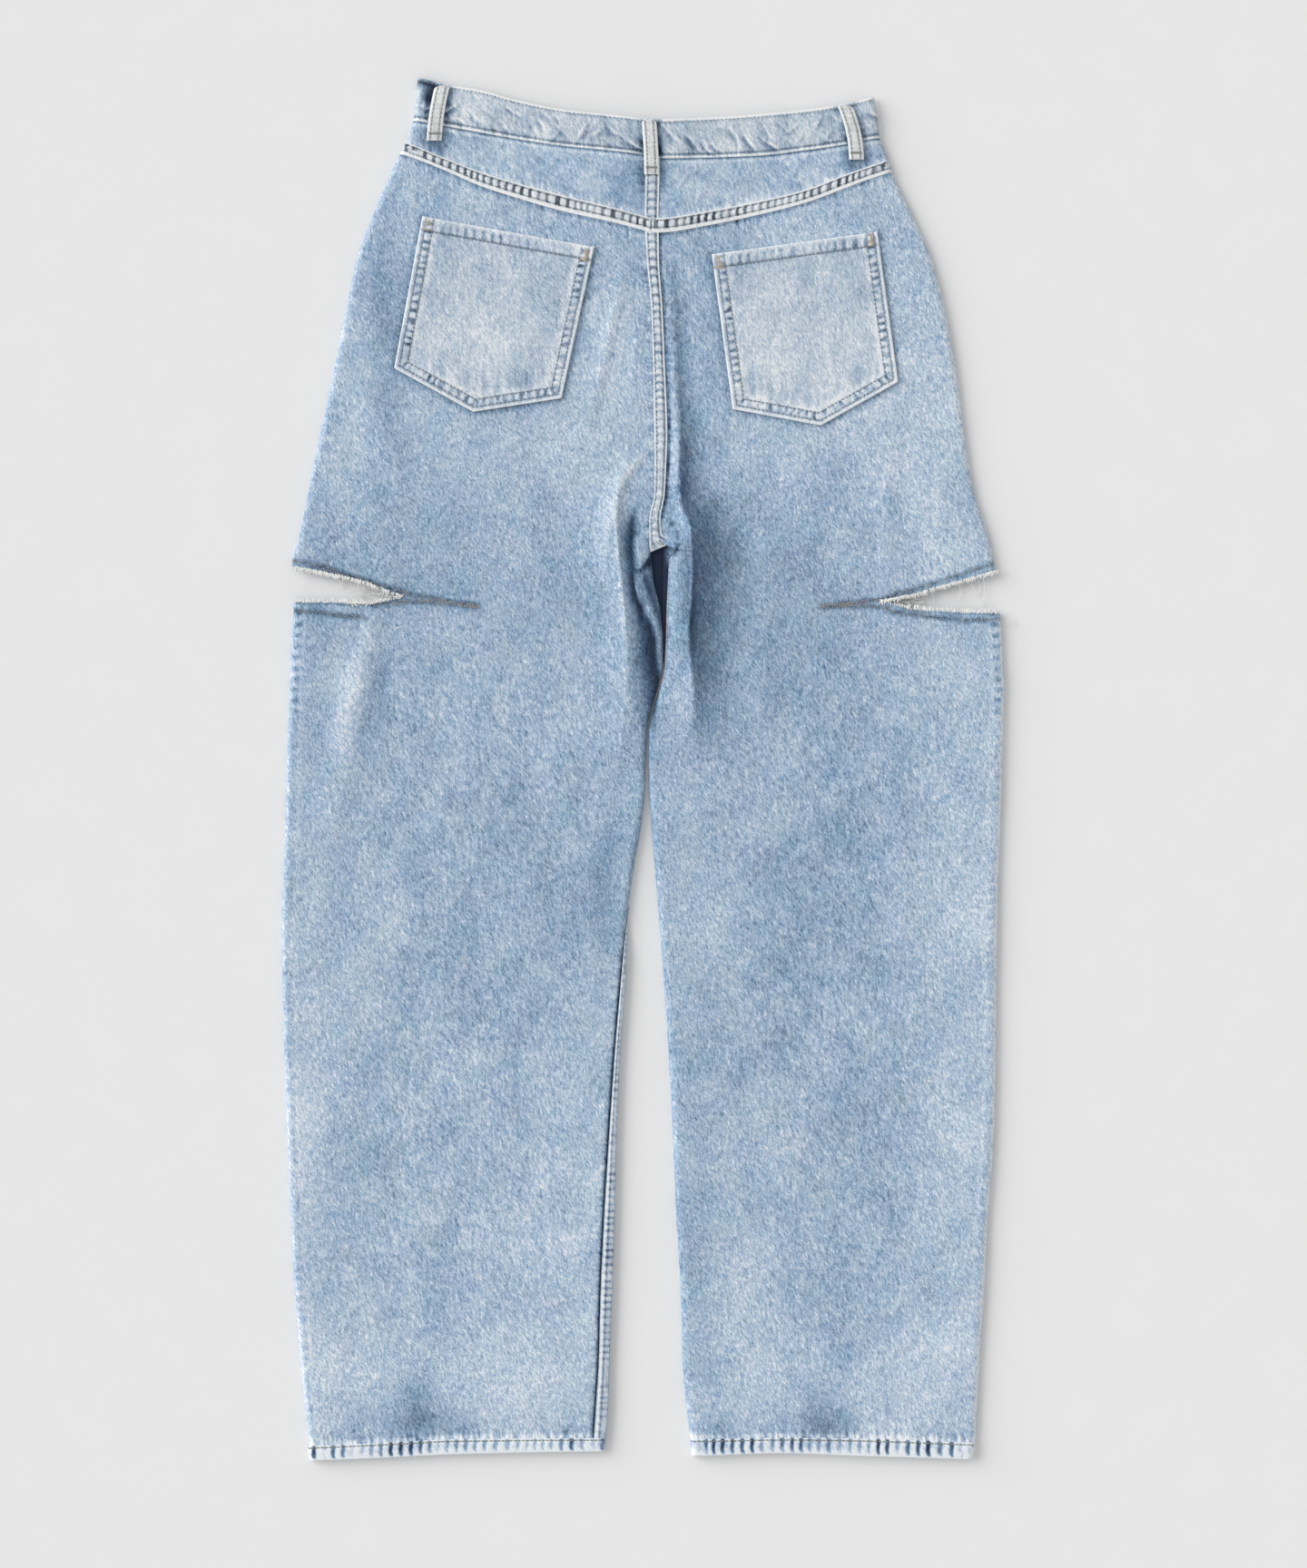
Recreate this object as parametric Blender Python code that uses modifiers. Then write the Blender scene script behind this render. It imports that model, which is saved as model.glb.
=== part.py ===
"""Ripped barrel-leg jeans, laid flat with the back up.

The front panels lie on the surface. The back panels, yokes, waistband, pockets and belt loops
lie on them, and both knees are slit open from the side seam. Every panel is a single wall of
denim, so each one is a lofted open surface with a Solidify modifier. The cloth of each leg is
whole past the end of its slit, but it is two solids here, a leg and a seat, which meet there.

The tables are in millimetres, in the garment's own frame: x runs across from the centre back
seam, y up the legs from the lowest hem corner, and z up from the surface the jeans lie on. An
empty carries all the pieces and brings the middle of the garment over the origin.
"""

from collections import namedtuple

import bmesh
import bpy
import numpy as np

MM = 0.001

# Cloth and seams
DENIM = 1.2
FELLED = 1.8
HEM_CLOTH = 2.4
WAISTBAND = 2.4
LOOP_CLOTH = 1.8
SEAM_GAP = 0.3
ROLLED_GAP = 0.7
SEAM_RISE = 0.6
LOOP_SLACK = 1.4

# How the garment lies
BACK_LAYER = 6.4
LEG_SAG = 1.8
SAG_FROM, SAG_FULL, SAG_TO, SAG_END = 25.0, 120.0, 560.0, 690.0
CROTCH = 699.0
CENTRE_FRONT = 8.0
FRONT_FORK = 613.0
FRONT_RISE_DROP = 9.0
INSEAM_SHOWS_TO = 400.0

# Waist button and fly, under the front
BUTTON_WIDTH = 17.0
BUTTON_HEIGHT = 2.9
BUTTON_SEGMENTS = 24
BUTTON_RIM = 0.6
BUTTON_OFF_CENTRE = 14.0
BUTTON_LIFT = 3.4
BUTTON_LIFT_REACH = 60.0
FLY_GAP = 0.5
FLY_WIDTH = 36.0
FLY_OVERLAP = 4.0
FLY_LENGTH = 165.0
FLY_BELOW_WAIST = 2.0

# Half the garment at a height: where the sides, the inner edges and the inseam ridge lie
Level = namedtuple("Level", "height left_side left_ridge left_inner right_inner right_side")
LEVELS = (
    Level(0, -265.0, -47.0, -37.0, 29.0, 246.0),
    Level(12, -265.5, -46.5, -37.0, 28.5, 248.0),
    Level(40, -268.5, -44.8, -35.0, 25.5, 249.5),
    Level(76, -272.0, -42.5, -34.0, 22.5, 251.5),
    Level(130, -276.5, -41.0, -32.0, 21.0, 255.0),
    Level(190, -279.5, -38.2, -30.0, 17.5, 258.0),
    Level(250, -282.5, -34.5, -28.5, 15.0, 262.5),
    Level(310, -284.5, -30.4, -26.0, 12.0, 264.0),
    Level(370, -286.0, -25.3, -21.8, 8.0, 264.5),
    Level(400, -286.5, -22.5, -20.3, 5.6, 265.0),
    Level(430, -286.0, -19.0, -19.0, 3.4, 265.5),
    Level(455, -285.0, -15.5, -15.5, 1.2, 266.0),
    Level(500, -283.5, -8.1, -8.1, -2.4, 268.0),
    Level(522, -283.0, -6.3, -6.3, -3.6, 268.6),
    Level(560, -282.0, -5.4, -5.4, -4.2, 269.5),
    Level(580, -281.0, -1.2, -1.2, 0.0, 270.0),
    Level(597, -280.5, 3.8, 3.8, 5.0, 270.5),
    Level(613, -280.0, 7.2, 7.2, 8.6, 269.5),
    Level(636, -278.8, 7.0, 7.0, 9.4, 268.5),
    Level(656, -277.5, 5.0, 5.0, 10.0, 266.7),
    Level(678, -279.0, 0.0, 0.0, 11.0, 265.0),
    Level(697, -278.0, -2.0, -2.0, 12.0, 261.5),
    Level(707, -274.3, -3.5, -3.5, 7.0, 259.5),
    Level(725, -270.5, -3.5, -3.5, 5.8, 254.0),
    Level(745, -266.5, 0.2, 0.2, 9.0, 247.5),
    Level(765, -262.5, 0.7, 0.7, 10.0, 243.5),
    Level(790, -257.0, 0.4, 0.4, 11.0, 240.0),
    Level(845, -245.5, -0.7, -0.7, 9.0, 232.5),
    Level(890, -236.5, -2.2, -2.2, 7.0, 224.0),
    Level(925, -229.0, -5.4, -5.4, 4.6, 214.5),
    Level(958, -217.0, -7.0, -7.0, 4.3, 200.5),
    Level(992, -202.5, -6.5, -6.5, 4.9, 184.0),
    Level(1008, -195.0, -6.3, -6.3, 4.9, 178.8),
    Level(1021, -188.5, -6.3, -6.3, 4.9, 174.0),
    Level(1034, -184.8, -6.3, -6.3, 4.9, 172.8),
    Level(1066, -181.5, -6.3, -6.3, 4.9, 167.0),
)

# The lines across the top: waist edge, waistband seam, and both edges of the yoke seam
Across = namedtuple("Across", "x waist band_seam yoke_foot panel_top")
TOP_LINES = (
    Across(-200, 1067.5, 1035.0, 1019.0, 1009.5),
    Across(-184, 1065.8, 1034.0, 1012.8, 1004.0),
    Across(-159, 1060.0, 1029.7, 1002.3, 994.0),
    Across(-134, 1055.8, 1025.0, 992.7, 983.0),
    Across(-106, 1048.0, 1020.0, 984.0, 973.7),
    Across(-69, 1040.2, 1014.3, 974.0, 963.0),
    Across(-31, 1036.0, 1010.3, 964.6, 954.5),
    Across(-9, 1033.4, 1007.6, 958.6, 948.7),
    Across(3, 1032.5, 1004.6, 955.6, 945.4),
    Across(42, 1034.0, 1005.2, 961.0, 951.0),
    Across(80, 1036.7, 1006.9, 968.5, 959.0),
    Across(117, 1040.3, 1011.2, 977.6, 968.6),
    Across(147, 1044.8, 1015.7, 989.0, 979.6),
    Across(161, 1048.3, 1018.7, 994.0, 985.0),
    Across(183, 1054.0, 1022.0, 1001.3, 992.4),
    Across(200, 1058.0, 1024.0, 1006.0, 998.0),
)

# The hems: the turned-up foot, and the stitched line above it
Hem = namedtuple("Hem", "x foot line")
HEM_LINES = (
    Hem(-275, 0.0, 9.0),
    Hem(-204, 3.0, 12.3),
    Hem(-150, 5.6, 15.0),
    Hem(-37, 7.6, 15.6),
    Hem(29, 4.3, 15.0),
    Hem(100, 6.3, 16.0),
    Hem(155, 4.3, 15.5),
    Hem(255, 1.2, 11.8),
)

# The knee slits: the cut edge below and above. Past the tip they are the two sides of the line
# where the solids of the leg and the seat meet.
Slit = namedtuple("Slit", "x low high")
SLIT_TIPS = {"left": -192.0, "right": 176.0}
SLITS = {
    "left": (
        Slit(-290, 662.5, 690.5),
        Slit(-256, 662.5, 684.0),
        Slit(-221, 661.0, 676.0),
        Slit(SLIT_TIPS["left"], 665.85, 666.15),
        Slit(10, 665.85, 666.15),
    ),
    "right": (
        Slit(-5, 662.25, 662.55),
        Slit(SLIT_TIPS["right"], 662.25, 662.55),
        Slit(200, 657.0, 667.0),
        Slit(231, 655.0, 675.7),
        Slit(272, 653.6, 687.0),
    ),
}

# Patch pockets, by their corners: two at the mouth, two at the sides' feet, and the point
Pocket = namedtuple("Pocket", "name mouth_left mouth_right foot_left point foot_right")
POCKETS = (
    Pocket(
        "pocket_left",
        mouth_left=(-177.8, 958.3),
        mouth_right=(-45.5, 934.5),
        foot_left=(-199.5, 841.4),
        point=(-138.6, 807.8),
        foot_right=(-70.7, 818.3),
    ),
    Pocket(
        "pocket_right",
        mouth_left=(44.8, 928.9),
        mouth_right=(172.2, 946.4),
        foot_left=(60.9, 809.9),
        point=(128.8, 797.3),
        foot_right=(188.3, 830.9),
    ),
)

# Belt loops, by the middle of their ends, their bow to the right, and how proud the seam under
# the foot is
Loop = namedtuple("Loop", "name top_x top_y foot_x foot_y bow width under_foot")
LOOPS = (
    Loop("belt_loop_left", -162.4, 1058.6, -168.8, 1016.4, -0.9, 11.6, 0.0),
    Loop("belt_loop_centre", -3.5, 1031.8, -1.4, 989.8, 0.4, 11.2, SEAM_RISE),
    Loop("belt_loop_right", 147.2, 1043.6, 156.3, 1001.7, 2.0, 11.4, 0.0),
)

# The largest folds, by stations along each crest or trough
Station = namedtuple("Station", "x y rise reach")
FOLDS = {
    "left_thigh_crest": (
        Station(-30, 775, 0.0, 14),
        Station(-28, 715, 4.0, 13),
        Station(-24, 665, 4.5, 13),
        Station(-17, 610, 3.0, 14),
        Station(-10, 560, 0.0, 14),
    ),
    "left_fork_crest": (
        Station(-16, 716, 0.0, 9),
        Station(-13, 690, 2.5, 9),
        Station(-9, 660, 3.5, 9),
        Station(0, 625, 3.0, 9),
        Station(4, 590, 0.0, 9),
    ),
    "right_fork_crest": (
        Station(18, 925, 0.0, 12),
        Station(17, 845, 2.0, 12),
        Station(20, 770, 3.5, 12),
        Station(27, 705, 7.0, 13),
        Station(28, 655, 7.5, 14),
        Station(31, 600, 4.5, 16),
        Station(28, 540, 0.0, 18),
    ),
    "right_seat_trough": (
        Station(38, 900, 0.0, 20),
        Station(42, 800, -1.0, 22),
        Station(56, 720, -1.4, 26),
        Station(58, 640, -1.2, 26),
        Station(50, 560, 0.0, 26),
    ),
    "left_knee_crest": (
        Station(-214, 658, 0.0, 14),
        Station(-222, 630, 2.6, 15),
        Station(-243, 545, 2.0, 18),
        Station(-256, 430, 1.2, 22),
        Station(-258, 300, 0.0, 24),
    ),
}

# Loft divisions. An edge roll is a set of columns near an edge: how far in, and how far up from
# the lip of the edge to the layer's own height.
Roll = namedtuple("Roll", "inset rise")
EDGE_ROLL = (Roll(0, 0.0), Roll(0, 0.45), Roll(1.5, 0.82), Roll(4.5, 1.0))
SIDE_INSETS = (12.0,)
INNER_INSETS = (10.0, 16.0, 22.0, 29.0, 39.0)
MIDDLE_SHARES = (0.12, 0.21, None, 0.44, 0.56, 0.68)
FRONT_SHARES = (0.0, 0.1, 0.2, None, 0.45, 0.6, 0.8, 1.0)
LEG_ROWS = (0, 0.06, 0.14, 0.22, 0.3, 0.38, 0.46, 0.54, 0.6, 0.66, 0.72, 0.78, 0.83, 0.87, 0.91, 0.955, 1)
SEAT_ROWS = (0, 0.07, 0.136, 0.18, 0.23, 0.29, 0.37, 0.46, 0.56, 0.67, 0.78, 0.89, 1)
FRONT_LEG_ROWS = (0, 0.08, 0.2, 0.35, 0.5, 0.6, 0.68, 0.76, 0.84, 0.92, 1)
FRONT_SEAT_ROWS = (0, 0.1, 0.25, 0.42, 0.6, 0.78, 0.9, 1)
YOKE_ROWS = (0, 0.5, 1)
WAISTBAND_SHARES = tuple(np.linspace(0.05, 0.95, 17))
POCKET_HALF_COLUMNS = 5
POCKET_ROWS = 7
LOOP_ROWS = 9
LOOP_STEP_REACH = 4.0
FLY_COLUMNS = 4
SEAM_ROW = 2
FOLD_STEPS = 12
PLACING_ROUNDS = 12
MID_LEG = 500.0

DENIM_BLUE = (0.35, 0.46, 0.59)
DENIM_PALE = (0.50, 0.58, 0.67)
DENIM_DEEP = (0.25, 0.34, 0.46)
BRASS = (0.60, 0.42, 0.20)


def eased(table, key, column, at):
    """One column of a table at any place along its key column, curved without overshoot."""
    places = np.array([getattr(row, key) for row in table], float)
    values = np.array([getattr(row, column) for row in table], float)
    steps = np.diff(places)
    slopes = np.diff(values) / steps
    before, after = slopes[:-1], slopes[1:]
    turning = before * after <= 0
    total = np.where(turning, 1, before + after)
    tangents = np.concatenate([slopes[:1], np.where(turning, 0, 2 * before * after / total), slopes[-1:]])
    at = np.asarray(at, float)
    i = np.clip(np.searchsorted(places, at) - 1, 0, len(steps) - 1)
    t = np.clip((at - places[i]) / steps[i], 0, 1)
    start = (1 + 2 * t) * (1 - t) ** 2 * values[i] + t * (1 - t) ** 2 * steps[i] * tangents[i]
    end = t * t * (3 - 2 * t) * values[i + 1] + t * t * (t - 1) * steps[i] * tangents[i + 1]
    return start + end


def outline(column):
    """The place across of one edge of the garment, as a function of height."""
    return lambda height: eased(LEVELS, "height", column, height)


def line(table, column, shift=0.0):
    """The height of one line that runs across the garment, as a function of x."""
    return lambda x: eased(table, "x", column, x) + shift


def smooth(t):
    """0 to 1 with no corner at either end."""
    t = np.clip(t, 0, 1)
    return t * t * (3 - 2 * t)


def fold_rise(stations, x, y):
    """How much one fold raises the cloth at x, y: a soft round ridge along its stations."""
    steps = np.linspace(0, len(stations) - 1, FOLD_STEPS * len(stations))
    along = {}
    for column in Station._fields:
        values = [getattr(station, column) for station in stations]
        along[column] = np.interp(steps, range(len(stations)), values)
    away = np.hypot(x - along["x"], y - along["y"])
    nearest = int(np.argmin(away))
    spread = min(away[nearest] / along["reach"][nearest], 1)
    return along["rise"][nearest] * np.cos(spread * np.pi / 2) ** 2


def leg_share(x, y):
    """How far x is across its leg at height y: 0 at the side and 1 at the inner edge."""
    half = "left" if x < 0 else "right"
    side = outline(half + "_side")(y)
    inner = outline(half + "_inner")(y)
    return np.clip((x - side) / (inner - side), 0, 1)


def button_lift(x, y):
    """The waist button under the front lifts both layers a little around it."""
    button_x, button_y = button_place()
    away = np.hypot(x - button_x, y - button_y)
    return BUTTON_LIFT * np.exp(-0.5 * (away / BUTTON_LIFT_REACH) ** 2)


def button_place():
    """Where the waist button sits: in the middle of the front waistband, off the centre front."""
    waist = line(TOP_LINES, "waist")(CENTRE_FRONT)
    seam = line(TOP_LINES, "band_seam")(CENTRE_FRONT)
    return CENTRE_FRONT - BUTTON_OFF_CENTRE, (waist + seam) / 2 - FRONT_RISE_DROP


def back_height(x, y):
    """The height of the outside of the back layer."""
    share = leg_share(x, y)
    window = smooth((y - SAG_FROM) / (SAG_FULL - SAG_FROM)) * smooth((SAG_END - y) / (SAG_END - SAG_TO))
    sag = LEG_SAG * window * 4 * share * (1 - share)
    folds = sum(fold_rise(stations, x, y) for stations in FOLDS.values())
    return BACK_LAYER - sag + folds + button_lift(x, y)


def place_on(side, inner, low, high, share, inset, up):
    """The x, y where a column of a panel crosses a row: both its edges bend, so it closes in."""
    x = side(MID_LEG) + share * (inner(MID_LEG) - side(MID_LEG))
    y = 0.0
    for _ in range(PLACING_ROUNDS):
        y = (1 - up) * low(x) + up * high(x)
        direction = np.sign(inner(y) - side(y))
        x = side(y) + share * (inner(y) - side(y)) + inset * direction
    return float(x), float(y)


def slit_share(half):
    """Where across the leg its slit ends: 0 at the side and 1 at the inner edge."""
    slit, tip = SLITS[half], SLIT_TIPS[half]
    knee = line(slit, "low")(tip)
    side, inner = outline(half + "_side")(knee), outline(half + "_inner")(knee)
    return float((tip - side) / (inner - side))


def back_columns(half):
    """Share across, inset from that share, rise and edge of each column of a back panel."""
    columns = [(0.0, roll.inset, roll.rise, "side") for roll in EDGE_ROLL]
    columns += [(0.0, inset, 1.0, "side") for inset in SIDE_INSETS]
    columns += [(slit_share(half) if share is None else share, 0.0, 1.0, "") for share in MIDDLE_SHARES]
    columns += [(1.0, -inset, 1.0, "inner") for inset in reversed(INNER_INSETS)]
    columns += [(1.0, -roll.inset, roll.rise, "inner") for roll in reversed(EDGE_ROLL)]
    return columns


def lofted(side, inner, low, high, rows, columns, raised=0.0, side_lip=DENIM + SEAM_GAP):
    """A grid of points of the back layer between two edges and two lines across.

    Its side edge rolls down to side_lip. Its inner edge rolls down to the front as well below
    the crotch, and above it only turns down into the seam.
    """
    grid = []
    for up in rows:
        row = []
        for share, inset, rise, edge in columns:
            x, y = place_on(side, inner, low, high, share, inset, up)
            top = back_height(x, y) + raised
            lip = top
            if edge == "side":
                lip = side_lip + button_lift(x, y)
            if edge == "inner":
                lip = side_lip if y < CROTCH else top - DENIM - SEAM_GAP
            row.append((x, y, lip + rise * (top - lip)))
        grid.append(row)
    return grid


def front_shares(half):
    """The columns of a front panel, one of them at the end of the slit."""
    return [slit_share(half) if share is None else share for share in FRONT_SHARES]


def flat_grid(side, inner, low, high, rows, shares, raised=0.0):
    """A grid of points of the front layer, which lies flat except over the button."""
    grid = []
    for up in rows:
        row = []
        for share in shares:
            x, y = place_on(side, inner, low, high, share, 0.0, up)
            row.append((x, y, raised + button_lift(x, y)))
        grid.append(row)
    return grid


def ruled(first, last, steps):
    """Rows of points that go straight from one edge to the other."""
    first, last = np.array(first, float), np.array(last, float)
    return [[tuple(point) for point in first + (last - first) * step] for step in steps]


def drawn_in(first, last, gap):
    """Two facing edges, each moved towards the other by a gap, or by a column of gaps."""
    first, last = np.array(first, float), np.array(last, float)
    across = last - first
    across[:, 2] = 0
    width = np.linalg.norm(across, axis=1, keepdims=True)
    move = across / np.maximum(width, 1e-6) * gap
    return first + move, last - move


def denim(name, colour, roughness=0.92, metallic=0.0):
    material = bpy.data.materials.new(name)
    material.use_nodes = True
    shader = material.node_tree.nodes["Principled BSDF"]
    shader.inputs["Base Color"].default_value = (*colour, 1)
    shader.inputs["Roughness"].default_value = roughness
    shader.inputs["Metallic"].default_value = metallic
    return material


def add_piece(name, mesh, colour, roughness=0.92, metallic=0.0):
    """Puts a mesh into the garment as one piece with its own material."""
    mesh.materials.append(denim(name, colour, roughness, metallic))
    piece = bpy.data.objects.new(name, mesh)
    piece.parent = garment
    parts.objects.link(piece)
    return piece


def wall(name, grid, thickness, colour, faces_up=True):
    """One wall of cloth from a grid of points on its outside."""
    count = len(grid[0])
    points = [tuple(value * MM for value in point) for row in grid for point in row]
    faces = []
    for r in range(len(grid) - 1):
        for c in range(count - 1):
            corner = r * count + c
            faces.append((corner, corner + 1, corner + count + 1, corner + count))
    mesh = bpy.data.meshes.new(name)
    mesh.from_pydata(points, [], faces)
    shell = bmesh.new()
    shell.from_mesh(mesh)
    shell.normal_update()
    upward = sum(face.normal.z * face.calc_area() for face in shell.faces) > 0
    if upward != faces_up:
        bmesh.ops.reverse_faces(shell, faces=shell.faces)
    shell.to_mesh(mesh)
    shell.free()
    mesh.shade_smooth()
    piece = add_piece(name, mesh, colour)
    solid = piece.modifiers.new("Cloth", "SOLIDIFY")
    solid.thickness = thickness * MM
    solid.offset = -1
    solid.use_quality_normals = True
    return piece


def back_panel(half):
    """The back of one leg and its seat, open between them at the knee. It gives back both grids."""
    side = outline(half + "_side")
    inner = outline("left_ridge" if half == "left" else "right_inner")
    hem = line(HEM_LINES, "line", ROLLED_GAP)
    top = line(TOP_LINES, "panel_top", -SEAM_GAP)
    low, high = line(SLITS[half], "low"), line(SLITS[half], "high")
    columns = back_columns(half)
    leg = lofted(side, inner, hem, low, LEG_ROWS, columns)
    seat = lofted(side, inner, high, top, SEAT_ROWS, columns)
    wall("back_leg_" + half, leg, DENIM, DENIM_BLUE)
    wall("back_seat_" + half, seat, DENIM, DENIM_BLUE)
    return leg, seat


def front_panel(half):
    """The front of one leg, from the hem to the waistband, open at the knee like the back."""
    side, inner = outline(half + "_side"), front_edge(half)
    hem = line(HEM_LINES, "line", SEAM_GAP)
    top = line(TOP_LINES, "band_seam", -FRONT_RISE_DROP - SEAM_GAP)
    low, high = line(SLITS[half], "low"), line(SLITS[half], "high")
    shares = front_shares(half)
    leg = flat_grid(side, inner, hem, low, FRONT_LEG_ROWS, shares)
    seat = flat_grid(side, inner, high, top, FRONT_SEAT_ROWS, shares)
    wall("front_leg_" + half, leg, DENIM, DENIM_DEEP, faces_up=False)
    wall("front_seat_" + half, seat, DENIM, DENIM_DEEP, faces_up=False)


def front_edge(half):
    """The inner edge of a front panel: the inseam, then the centre front seam above the fork."""
    edge = outline(half + "_inner")
    sign = -1 if half == "left" else 1
    seam = CENTRE_FRONT + sign * SEAM_GAP / 2
    return lambda height: np.where(height < FRONT_FORK, edge(height), seam)


def felled_seam(name, first, last, raised):
    """A flat-felled seam: the strip of lapped cloth between the edges of two panels."""
    first, last = drawn_in(first, last, SEAM_GAP)
    first[:, 2] += raised
    last[:, 2] += raised
    wall(name, ruled(first, last, (0, 1)), FELLED, DENIM_PALE)


def yoke(half):
    """The shaped piece between the waistband and a back panel. It gives back its lowest row."""
    grid = lofted(
        outline(half + "_side"),
        outline(half + "_inner"),
        line(TOP_LINES, "yoke_foot"),
        line(TOP_LINES, "band_seam", -ROLLED_GAP),
        YOKE_ROWS,
        back_columns(half),
        side_lip=WAISTBAND + SEAM_GAP,
    )
    wall("yoke_" + half, grid, DENIM, DENIM_BLUE)
    return grid


def yoke_seam(half, panel_row, yoke_row):
    """The felled seam between a back panel and its yoke, with its end rolled down at the side."""
    gaps = np.full((len(panel_row), 1), SEAM_GAP)
    gaps[: len(EDGE_ROLL)] = ROLLED_GAP
    gaps[-len(EDGE_ROLL) :] = ROLLED_GAP
    first, last = drawn_in(panel_row, yoke_row, gaps)
    for edge in (first, last):
        edge[len(EDGE_ROLL) - 1 :, 2] += SEAM_RISE
        for column in (1, 2):
            edge[column, 2] += SEAM_RISE * EDGE_ROLL[column].rise
    wall("yoke_seam_" + half, ruled(first, last, (0, 1)), FELLED, DENIM_PALE)


def centre_back_seam(left_seat, right_seat):
    """The felled seam down the seat, from the yoke seam to the crotch."""
    left = [row[-1] for row in left_seat[SEAM_ROW:]]
    right = [row[-1] for row in right_seat[SEAM_ROW:]]
    depth = DENIM + SEAM_GAP
    felled_seam("centre_back_seam", left, right, raised=depth + SEAM_RISE)


def yoke_centre_seam(left_grid, right_grid):
    """The same seam above, between the two yokes."""
    left = [row[-1] for row in left_grid]
    right = [row[-1] for row in right_grid]
    depth = DENIM + SEAM_GAP
    felled_seam("yoke_centre_seam", left, right, raised=depth + SEAM_RISE)


def inseam_left(leg):
    """The felled inseam that turns into view along the inner edge of the left leg."""
    rows = [row for row in leg if row[-1][1] <= INSEAM_SHOWS_TO]
    edge = outline("left_inner")
    ridge = [(row[-1][0] + SEAM_GAP, row[-1][1], BACK_LAYER - SEAM_RISE) for row in rows]
    rim = [(float(edge(y)), y, BACK_LAYER - 2 * SEAM_RISE) for _, y, _ in ridge]
    foot = [(x, y, DENIM + SEAM_GAP) for x, y, _ in rim]
    wall("inseam_left", [ridge, rim, foot], DENIM, DENIM_PALE)


def hems(half):
    """The turned-up hem of one leg: a doubled band on the back and one on the front."""
    side = outline(half + "_side")
    inner = outline(half + "_inner")
    foot, top = line(HEM_LINES, "foot"), line(HEM_LINES, "line")
    lip = HEM_CLOTH + SEAM_GAP
    back = lofted(side, inner, foot, top, (0, 1), back_columns(half), raised=SEAM_RISE, side_lip=lip)
    wall("hem_back_" + half, back, HEM_CLOTH, DENIM_PALE)
    front = flat_grid(side, inner, foot, top, (0, 1), front_shares(half))
    wall("hem_front_" + half, front, HEM_CLOTH, DENIM_PALE, faces_up=False)


def waistband():
    """The waistband: one length across the back and two across the front, meeting at the button."""
    left, right = outline("left_side"), outline("right_side")
    seam, waist = line(TOP_LINES, "band_seam"), line(TOP_LINES, "waist")
    columns = [(0.0, roll.inset, roll.rise, "side") for roll in EDGE_ROLL]
    columns += [(share, 0.0, 1.0, "") for share in WAISTBAND_SHARES]
    columns += [(1.0, -roll.inset, roll.rise, "side") for roll in reversed(EDGE_ROLL)]
    lip = WAISTBAND + SEAM_GAP
    back = lofted(left, right, seam, waist, YOKE_ROWS, columns, raised=SEAM_RISE, side_lip=lip)
    wall("waistband_back", back, WAISTBAND, DENIM_BLUE)

    foot = line(TOP_LINES, "band_seam", -FRONT_RISE_DROP)
    top = line(TOP_LINES, "waist", -FRONT_RISE_DROP)
    for half, side in (("left", left), ("right", right)):
        front = flat_grid(side, front_edge(half), foot, top, YOKE_ROWS, front_shares(half))
        wall("waistband_front_" + half, front, WAISTBAND, DENIM_DEEP, faces_up=False)


def pocket(shape):
    """A patch pocket, laid on its back panel."""
    mouth = np.linspace(shape.mouth_left, shape.mouth_right, 2 * POCKET_HALF_COLUMNS - 1)
    foot = np.concatenate(
        [
            np.linspace(shape.foot_left, shape.point, POCKET_HALF_COLUMNS),
            np.linspace(shape.point, shape.foot_right, POCKET_HALF_COLUMNS)[1:],
        ]
    )
    grid = []
    for step in np.linspace(0, 1, POCKET_ROWS):
        row = []
        for x, y in foot + (mouth - foot) * step:
            row.append((x, y, back_height(x, y) + SEAM_GAP + DENIM))
        grid.append(row)
    wall(shape.name, grid, DENIM, DENIM_PALE)


def belt_loop(shape):
    """A belt loop: a folded strap, sewn down at both ends and slack over the waistband."""
    seam = line(TOP_LINES, "band_seam")
    grid = []
    for step in np.linspace(0, 1, LOOP_ROWS):
        middle = shape.foot_x + (shape.top_x - shape.foot_x) * step + shape.bow * np.sin(np.pi * step)
        y = shape.foot_y + (shape.top_y - shape.foot_y) * step
        over_band = smooth((y - seam(middle)) / LOOP_STEP_REACH + 1)
        proud = shape.under_foot + (SEAM_RISE - shape.under_foot) * over_band
        slack = LOOP_SLACK * np.sin(np.pi * step)
        row = []
        for edge in (-0.5, 0, 0.5):
            x = middle + edge * shape.width
            rest = back_height(x, y) + proud + SEAM_GAP + LOOP_CLOTH
            row.append((x, y, rest + slack))
        grid.append(row)
    wall(shape.name, grid, LOOP_CLOTH, DENIM_PALE)


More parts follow.
